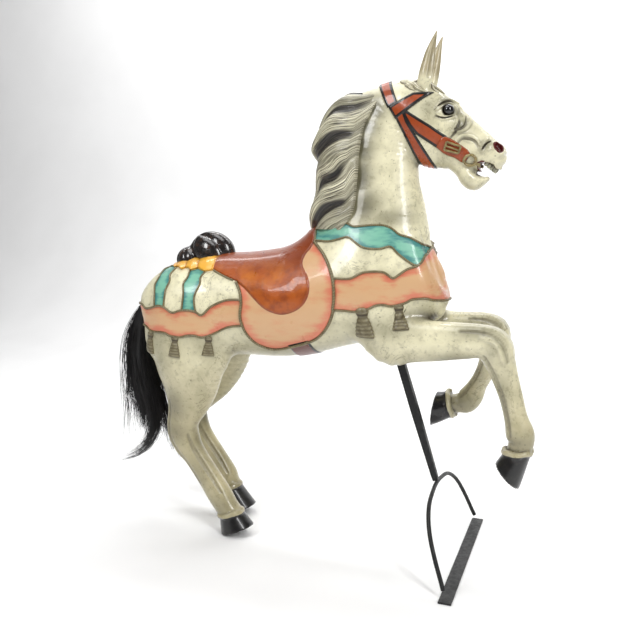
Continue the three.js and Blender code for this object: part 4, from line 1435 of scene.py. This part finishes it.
def forelock():
    pale = carved_look("carved_forelock", srgb(222, 216, 184), srgb(168, 160, 128), srgb(90, 80, 58), 0.38, 0.4)
    batch = Batch()
    t = np.linspace(0, 1, 30)
    tufts = [(-44, -46, 40, 26, -34, 46, 9), (-30, -34, 34, 48, -14, 30, 9), (-20, -30, 14, 62, -4, 18, 9),
             (-46, -52, 46, -6, -52, 54, 8), (-60, -62, 30, -20, -40, 42, 9)]
    for side in (-1, 1):
        for n, (u0, v0, y0, u1, v1, y1, size) in enumerate(tufts):
            path = np.array([on_head(u0 + (u1 - u0) * s, v0 + (v1 - v0) * s, side * (y0 + (y1 - y0) * s))
                             for s in t])
            path = settle(figure, path, 1.5, 3).astype(float)
            up = gradient(figure, path, 2.5).astype(float)
            width = size * np.interp(t, [0, 0.2, 0.6, 1], [0.5, 1, 0.9, 0.15])
            lock(batch, relaxed(path, False, 6), up, width, 0.5 * width, 9, n, 40)
    batch.piece("forelock", pale, "painted_wood")


def lock(batch, path, outward, width, height, ridges, phase, sides=64):
    """A lock of carved hair with ridges running along it."""
    def comb(i, angle):
        return 1 + 0.055 * np.cos(ridges * angle + phase + 0.04 * i)

    vertices, faces = tube(path, outward, width, height, sides, comb)
    i = np.arange(len(path))[:, None]
    angle = 2 * np.pi * (np.arange(sides) + 0.5)[None] / sides
    comb_line = 0.5 - 0.5 * np.cos(ridges * angle + phase + 0.04 * i)
    flank = 1 - np.sin(np.clip(angle, 0, np.pi)) ** 0.6
    ends = np.exp(-(i / len(path) / 0.10) ** 2)
    # Painted shade in the grooves of the comb, on the lock's underside against the head and at its root.
    groove = np.clip(0.75 * comb_line ** 1.5 + 0.8 * flank + 0.6 * ends, 0, 1)
    batch.add(vertices, faces, groove=groove.ravel())


# ---- Tail --------------------------------------------------------------------------------------------
TAIL_GUIDES = [
    [[-287, 800], [-345, 750], [-392, 670], [-408, 590], [-412, 500], [-420, 420], [-428, 330], [-438, 250]],
    [[-286, 798], [-336, 745], [-372, 680], [-388, 600], [-386, 520], [-374, 440], [-366, 370], [-360, 300]],
    [[-284, 795], [-318, 735], [-344, 670], [-352, 590], [-346, 500], [-330, 420], [-322, 350], [-326, 280]],
    [[-282, 790], [-302, 730], [-314, 660], [-314, 580], [-302, 500], [-288, 420], [-280, 350], [-276, 290]],
    [[-282, 790], [-300, 700], [-306, 600], [-290, 500], [-262, 400], [-238, 320], [-212, 240], [-180, 165]],
]
TAIL_CURL = [[-285, 795], [-325, 730], [-352, 640], [-350, 550], [-325, 460], [-296, 380], [-296, 300],
             [-330, 232], [-390, 188], [-464, 164]]
SHARES = [(0.0, 0.06), (0.06, 0.42), (0.42, 0.80), (0.80, 0.90)]       # how the hair is shared between guides


def hair_path(t, pick, guides, curl):
    """One hair's way through the tail."""
    for index, (low, high) in enumerate(SHARES):
        if low <= pick < high:
            share = RNG.uniform(0, 1)
            first, second = guides[index], guides[index + 1]
            length = RNG.uniform(0.62, 1.0)
            break
    else:
        share, first, second, length = RNG.uniform(0, 0.35), curl, guides[2], RNG.uniform(0.75, 1.0)
    reach = t * length
    at = np.linspace(0, 1, len(first))
    blend = (1 - share) * first + share * np.column_stack(
        [np.interp(at, np.linspace(0, 1, len(second)), second[:, k]) for k in (0, 1)])
    x, z = (np.interp(reach, at, blend[:, k]) for k in (0, 1))
    wide = 46 * np.sin(np.pi * np.clip(reach * 0.8 + 0.03, 0, 1)) ** 0.8
    y = wide * np.clip(RNG.normal(0, 0.4), -1.05, 1.05)
    loose = 13 if pick < 0.06 or RNG.uniform() < 0.05 else 4
    sway = RNG.normal(0, loose) * np.sin(RNG.uniform(3, 8) * t + RNG.uniform(0, 6)) * t
    return np.column_stack([x + sway, y + 0.6 * sway, z + 0.3 * sway])


def tail():
    """Real horsehair: thousands of fine tapering strands over a dense inner hank."""
    count = 2500
    steps = 13
    t = np.linspace(0, 1, steps)
    guides = [smooth_rows(guide, 5) for guide in TAIL_GUIDES]
    curl = smooth_rows(TAIL_CURL, 5)
    batch_vertices, batch_faces, shade = [], [], []
    for n in range(count):
        path = hair_path(t, RNG.uniform(), guides, curl)
        radius = RNG.uniform(0.5, 0.95) * np.interp(t, [0, 0.7, 1], [1, 1, 0.25])
        vertices, faces = strand(path, radius)
        batch_faces.append(faces + n * steps * 3)
        batch_vertices.append(vertices)
        shade.append(np.full(len(vertices), RNG.uniform(0, 1) ** 2))
    look = hair_look()
    hair = make_piece("tail_hair", np.vstack(batch_vertices), np.vstack(batch_faces), look, "horsehair",
                      {"groove": np.concatenate(shade)})
    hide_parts("tail")
    inner = Form().add(Chain([
        [-280, 0, 790, 18, 22], [-322, 0, 745, 26, 30], [-344, 0, 680, 34, 36], [-350, 0, 600, 36, 40],
        [-345, 0, 510, 32, 36], [-332, 0, 430, 24, 28], [-326, 0, 360, 10, 14],
    ]), 6)
    vertices, faces = mesh_form(inner, (-420, -60, 300), (-250, 60, 830), 6.0)
    make_piece("tail_hank", vertices, faces, look, "horsehair", {"groove": np.zeros(len(vertices))})


def strand(path, radius):
    """A three-sided hair along a path."""
    tangent, side, outward = path_frames(path, np.tile([0.3, 1, 0.1], (len(path), 1)))
    angle = 2 * np.pi * np.arange(3) / 3
    ring = (path[:, None] + side[:, None] * (radius[:, None] * np.cos(angle))[..., None]
            + outward[:, None] * (radius[:, None] * np.sin(angle))[..., None])
    rows = np.arange(len(path) - 1)[:, None] * 3
    j = np.arange(3)[None]
    k = (j + 1) % 3
    faces = np.stack([rows + j, rows + k, rows + 3 + k, rows + 3 + j], -1).reshape(-1, 4)
    return ring.reshape(-1, 3), faces


# ---- Head details ------------------------------------------------------------------------------------
def ball(centre, radius, rows=20, columns=32):
    """A rounded cap of an eye, closed at the back."""
    theta = np.linspace(0.03, np.pi - 0.03, rows)[:, None]
    phi = 2 * np.pi * np.arange(columns)[None] / columns
    ring = np.stack([np.sin(theta) * np.cos(phi), np.cos(theta) + 0 * phi, np.sin(theta) * np.sin(phi)], -1)
    faces = grid_faces(rows, columns, True)
    faces += [list(range(columns))[::-1], [(rows - 1) * columns + j for j in range(columns)]]
    return np.array(centre) + radius * ring.reshape(-1, 3), faces


def eyes():
    batch = Batch()
    u, v, y = EYE
    for side in (-1, 1):
        vertices, faces = ball(on_head(u, v, side * y), EYE_RADIUS)
        ring = np.abs(vertices[:, 1]) - y
        batch.add(vertices, faces, groove=smoothstep(-ring, -15.5, -12.5))
    look = Look("glazed_eye", 0.06, 1.0, 0.02)
    iris = look.mix(look.step(look.noise(240, 3), 0.4, 0.6), srgb(10, 6, 6), srgb(4, 3, 5))
    look.colour(look.mix(look.attribute("groove"), srgb(2, 2, 3), iris))
    batch.piece("eyes", look.material, "painted_wood")


def teeth():
    """Upper teeth as one carved strip with notches, following the upper lip."""
    batch = Batch()
    t = np.linspace(-1, 1, 61)
    path = np.array([on_head(326 - 40 * abs(s) ** 1.7, -67 - 2 * abs(s), 25 * np.sign(s) * abs(s) ** 0.75)
                     for s in t])
    notch = 1 - 0.35 * np.exp(-(((t * 6 + 0.5) % 1 - 0.5) / 0.1) ** 2)
    up = np.tile(FACE_UP, (len(t), 1))
    vertices, faces = tube(path, up, 3.0 * notch, 8.5 * notch, 12)
    # Painted shade in the notches between the teeth.
    batch.add(vertices, faces, groove=np.repeat(1 - notch, 12) * 2)
    look = carved_look("painted_teeth", srgb(160, 158, 132), srgb(112, 110, 86), srgb(44, 38, 28), 0.25, 0.5)
    batch.piece("teeth", look, "painted_wood")


def draped(points, rise, spacing=2.5):
    """A path over the face from [along, up, side] points, lifted off the surface."""
    path = np.array([on_head(*point) for point in points])
    path = resample(smooth_rows(path, 6), spacing)
    path = settle(carved, path, rise, 4).astype(float)
    return path, gradient(carved, path, 2.5).astype(float)


def tack():
    """Buckle, keeper, bit ring and bit end on both cheeks."""
    batch = Batch()
    for side in (-1, 1):
        frame_points = [[166, -96, 54], [206, -80, 50], [214, -98, 50], [176, -118, 54]]
        for a, b in zip(frame_points, frame_points[1:] + frame_points[:1]):
            path, up = draped([[a[0], a[1], side * a[2]], [b[0], b[1], side * b[2]]], 6.0)
            vertices, faces = tube(path, up, 3.2, 2.6, 10)
            batch.add(vertices, faces, groove=np.full(len(vertices), 0.1))
        path, up = draped([[170, -106, side * 54], [211, -90, side * 50]], 7.5)
        vertices, faces = tube(path, up, 2.4, 2.2, 10)
        batch.add(vertices, faces, groove=np.full(len(vertices), 0.1))
        angle = np.linspace(0, 2 * np.pi, 33)[:-1]
        ring = [[251 + 17 * math.cos(a), -92 + 17 * math.sin(a), side * 37] for a in angle]
        path = settle(carved, np.array([on_head(*q) for q in ring]), 4.0, 4).astype(float)
        up = gradient(carved, path, 2.5).astype(float)
        vertices, faces = tube(path, up, 4.2, 3.6, 10, closed=True)
        batch.add(vertices, faces, groove=np.full(len(vertices), 0.15))
        path, up = draped([[262, -92, side * 37], [276, -86, side * 34], [284, -88, side * 30]], 3.0)
        vertices, faces = tube(path, up, 4.5, 4.0, 10)
        batch.add(vertices, faces, groove=np.full(len(vertices), 0.25))
    look = carved_look("gilded_tack", srgb(158, 142, 92), srgb(112, 94, 52), srgb(50, 36, 20), 0.3, 0.5)
    batch.piece("bit_and_buckle", look, "painted_wood")


# ---- Stand -------------------------------------------------------------------------------------------
BOW_HALF_SPAN = 285
BOW_RADIUS = 6.5
BOW_SHAPE = [(0, 8), (0.26, 14), (0.5, 27), (0.69, 54), (0.83, 94), (0.92, 150), (0.97, 205), (1, 232)]


def loft(path, sections, material, name):
    """A closed skin through square or round sections given as arrays of offsets."""
    rows, columns = len(path), len(sections[0])
    vertices = (np.array(path)[:, None] + np.array(sections)).reshape(-1, 3)
    faces = grid_faces(rows, columns, True)
    faces += [list(range(columns))[::-1], [(rows - 1) * columns + j for j in range(columns)]]
    return vertices, faces


def rounded_square(half, radius, tangent):
    """Offsets of a square section with rounded corners, square to a direction in the mid-plane."""
    side = np.array([0, 1.0, 0])
    up = np.cross(side, tangent)
    offsets = []
    for cx, cy, start in ((1, 1, 0), (-1, 1, 1), (-1, -1, 2), (1, -1, 3)):
        for a in np.linspace(0, np.pi / 2, 5) + start * np.pi / 2:
            x = cx * (half - radius) + radius * np.cos(a)
            y = cy * (half - radius) + radius * np.sin(a)
            offsets.append(x * up + y * side)
    return offsets


def stand():
    look = steel_look()
    lean = math.radians(17.8)
    down = np.array([math.sin(lean), 0, -math.cos(lean)])
    apex = np.array([728.0, 0, 245.0])
    top = apex - down * (783 - 245) / math.cos(lean)
    t = np.concatenate([np.linspace(0, 0.97, 14), [0.985, 1.0]])
    half = np.interp(t, [0, 0.6, 0.97, 1], [12.4, 12.4, 9.6, 8.6])
    path = [top + (apex - top) * s for s in t]
    vertices, faces = loft(path, [rounded_square(h, 1.6, down) for h in half], look, "rod")
    rod = make_piece("stand_rod_steel", vertices, faces, look, "stand_steel", smooth=False)
    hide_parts("stand_rod")
    lean_plane = np.array([FOOT_CENTRE - 728, 0, -(245 - 6)])
    lean_plane /= np.linalg.norm(lean_plane)
    points = [(-a, d) for a, d in BOW_SHAPE[:0:-1]] + [(a, d) for a, d in BOW_SHAPE]
    path = np.array([[apex[0], a * BOW_HALF_SPAN, apex[2]] + lean_plane * d for a, d in points])
    path = resample(smooth_rows(path, 10), 6)
    vertices, faces = tube(path, np.tile([1.0, 0, 0.4], (len(path), 1)), BOW_RADIUS, BOW_RADIUS, 20)
    bow = make_piece("stand_bow_steel", vertices, faces, look, "stand_steel")
    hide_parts("stand_bow")
    bar = bevelled_bar((FOOT_CENTRE - 19, -310, 0), (FOOT_CENTRE + 19, 310, 6), 1.2)
    foot = make_piece("stand_foot_steel", *bar, look, "stand_steel", smooth=False)
    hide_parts("stand_foot")


def bevelled_bar(low, high, bevel):
    low, high = np.array(low, float), np.array(high, float)
    rows = [(0, bevel), (bevel, 0), (high[2] - low[2] - bevel, 0), (high[2] - low[2], bevel)]
    vertices = []
    for z, inset in rows:
        x0, y0, x1, y1 = low[0] + inset, low[1] + inset, high[0] - inset, high[1] - inset
        c = bevel
        vertices += [[x0 + c, y0, low[2] + z], [x1 - c, y0, low[2] + z], [x1, y0 + c, low[2] + z],
                     [x1, y1 - c, low[2] + z], [x1 - c, y1, low[2] + z], [x0 + c, y1, low[2] + z],
                     [x0, y1 - c, low[2] + z], [x0, y0 + c, low[2] + z]]
    faces = grid_faces(4, 8, True) + [list(range(8))[::-1], [24 + j for j in range(8)]]
    return vertices, faces


# ---- Studio ------------------------------------------------------------------------------------------
def backdrop():
    """A pale floor that sweeps up into a wall behind the horse."""
    profile = [(-6, 0), (2.2, 0)]
    profile += [(2.2 + 1.4 * math.sin(a), 1.4 - 1.4 * math.cos(a)) for a in np.linspace(0.1, np.pi / 2, 12)]
    profile += [(3.6, 6)]
    mesh = bpy.data.meshes.new("backdrop")
    vertices = [(x, y, z) for y, z in profile for x in (-9, 9)]
    faces = [(2 * i, 2 * i + 1, 2 * i + 3, 2 * i + 2) for i in range(len(profile) - 1)]
    mesh.from_pydata(vertices, [], faces)
    mesh.shade_smooth()
    look = Look("pale_floor", 0.9)
    look.colour(look.mix(look.step(look.noise(2, 2), 0.3, 0.7), srgb(250, 250, 250), srgb(246, 246, 246)))
    mesh.materials.append(look.material)
    floor = bpy.data.objects.new("backdrop", mesh)
    bpy.context.scene.collection.objects.link(floor)


def softbox(name, place, aim, size, power, tint=(1, 1, 1)):
    light = bpy.data.lights.new(name, "AREA")
    light.shape = "RECTANGLE"
    light.size, light.size_y = size
    light.energy = power
    light.color = tint
    box = bpy.data.objects.new(name, light)
    box.location = place
    box.rotation_euler = (Vector(aim) - Vector(place)).to_track_quat("-Z", "Y").to_euler()
    bpy.context.scene.collection.objects.link(box)


def studio():
    backdrop()
    world = bpy.data.worlds.new("studio")
    world.use_nodes = True
    world.node_tree.nodes["Background"].inputs[0].default_value = (1, 1, 1, 1)
    world.node_tree.nodes["Background"].inputs[1].default_value = 0.17
    bpy.context.scene.world = world
    softbox("key", (2.9, -2.6, 2.9), (0.1, 0, 0.9), (0.7, 2.4), 90)
    softbox("top", (-0.4, -0.6, 3.6), (0, 0, 0.9), (2.6, 1.2), 32)
    softbox("window", (-1.35, -2.46, 2.74), (-0.04, -0.15, 0.87), (0.7, 1.3), 40)
    softbox("wall_wash", (0, 1.6, 4.5), (0, 3.6, 1.5), (6, 1.0), 190)
    bpy.context.scene.view_settings.view_transform = "Standard"
    data = bpy.data.cameras.new("camera")
    data.sensor_width, data.lens = 36, 42.19
    camera = bpy.data.objects.new("camera", data)
    camera.location = (1.17245 - ORIGIN[0] / 1000, -2.2682, 1.1)
    camera.rotation_euler = (math.radians(90 - 8.5), 0, math.radians(20.25))
    bpy.context.scene.collection.objects.link(camera)
    bpy.context.scene.camera = camera


body = horse_pieces()
region_cords(body)
tassels()
cantle()
mane()
eyes()
teeth()
tack()
tail()
stand()
studio()
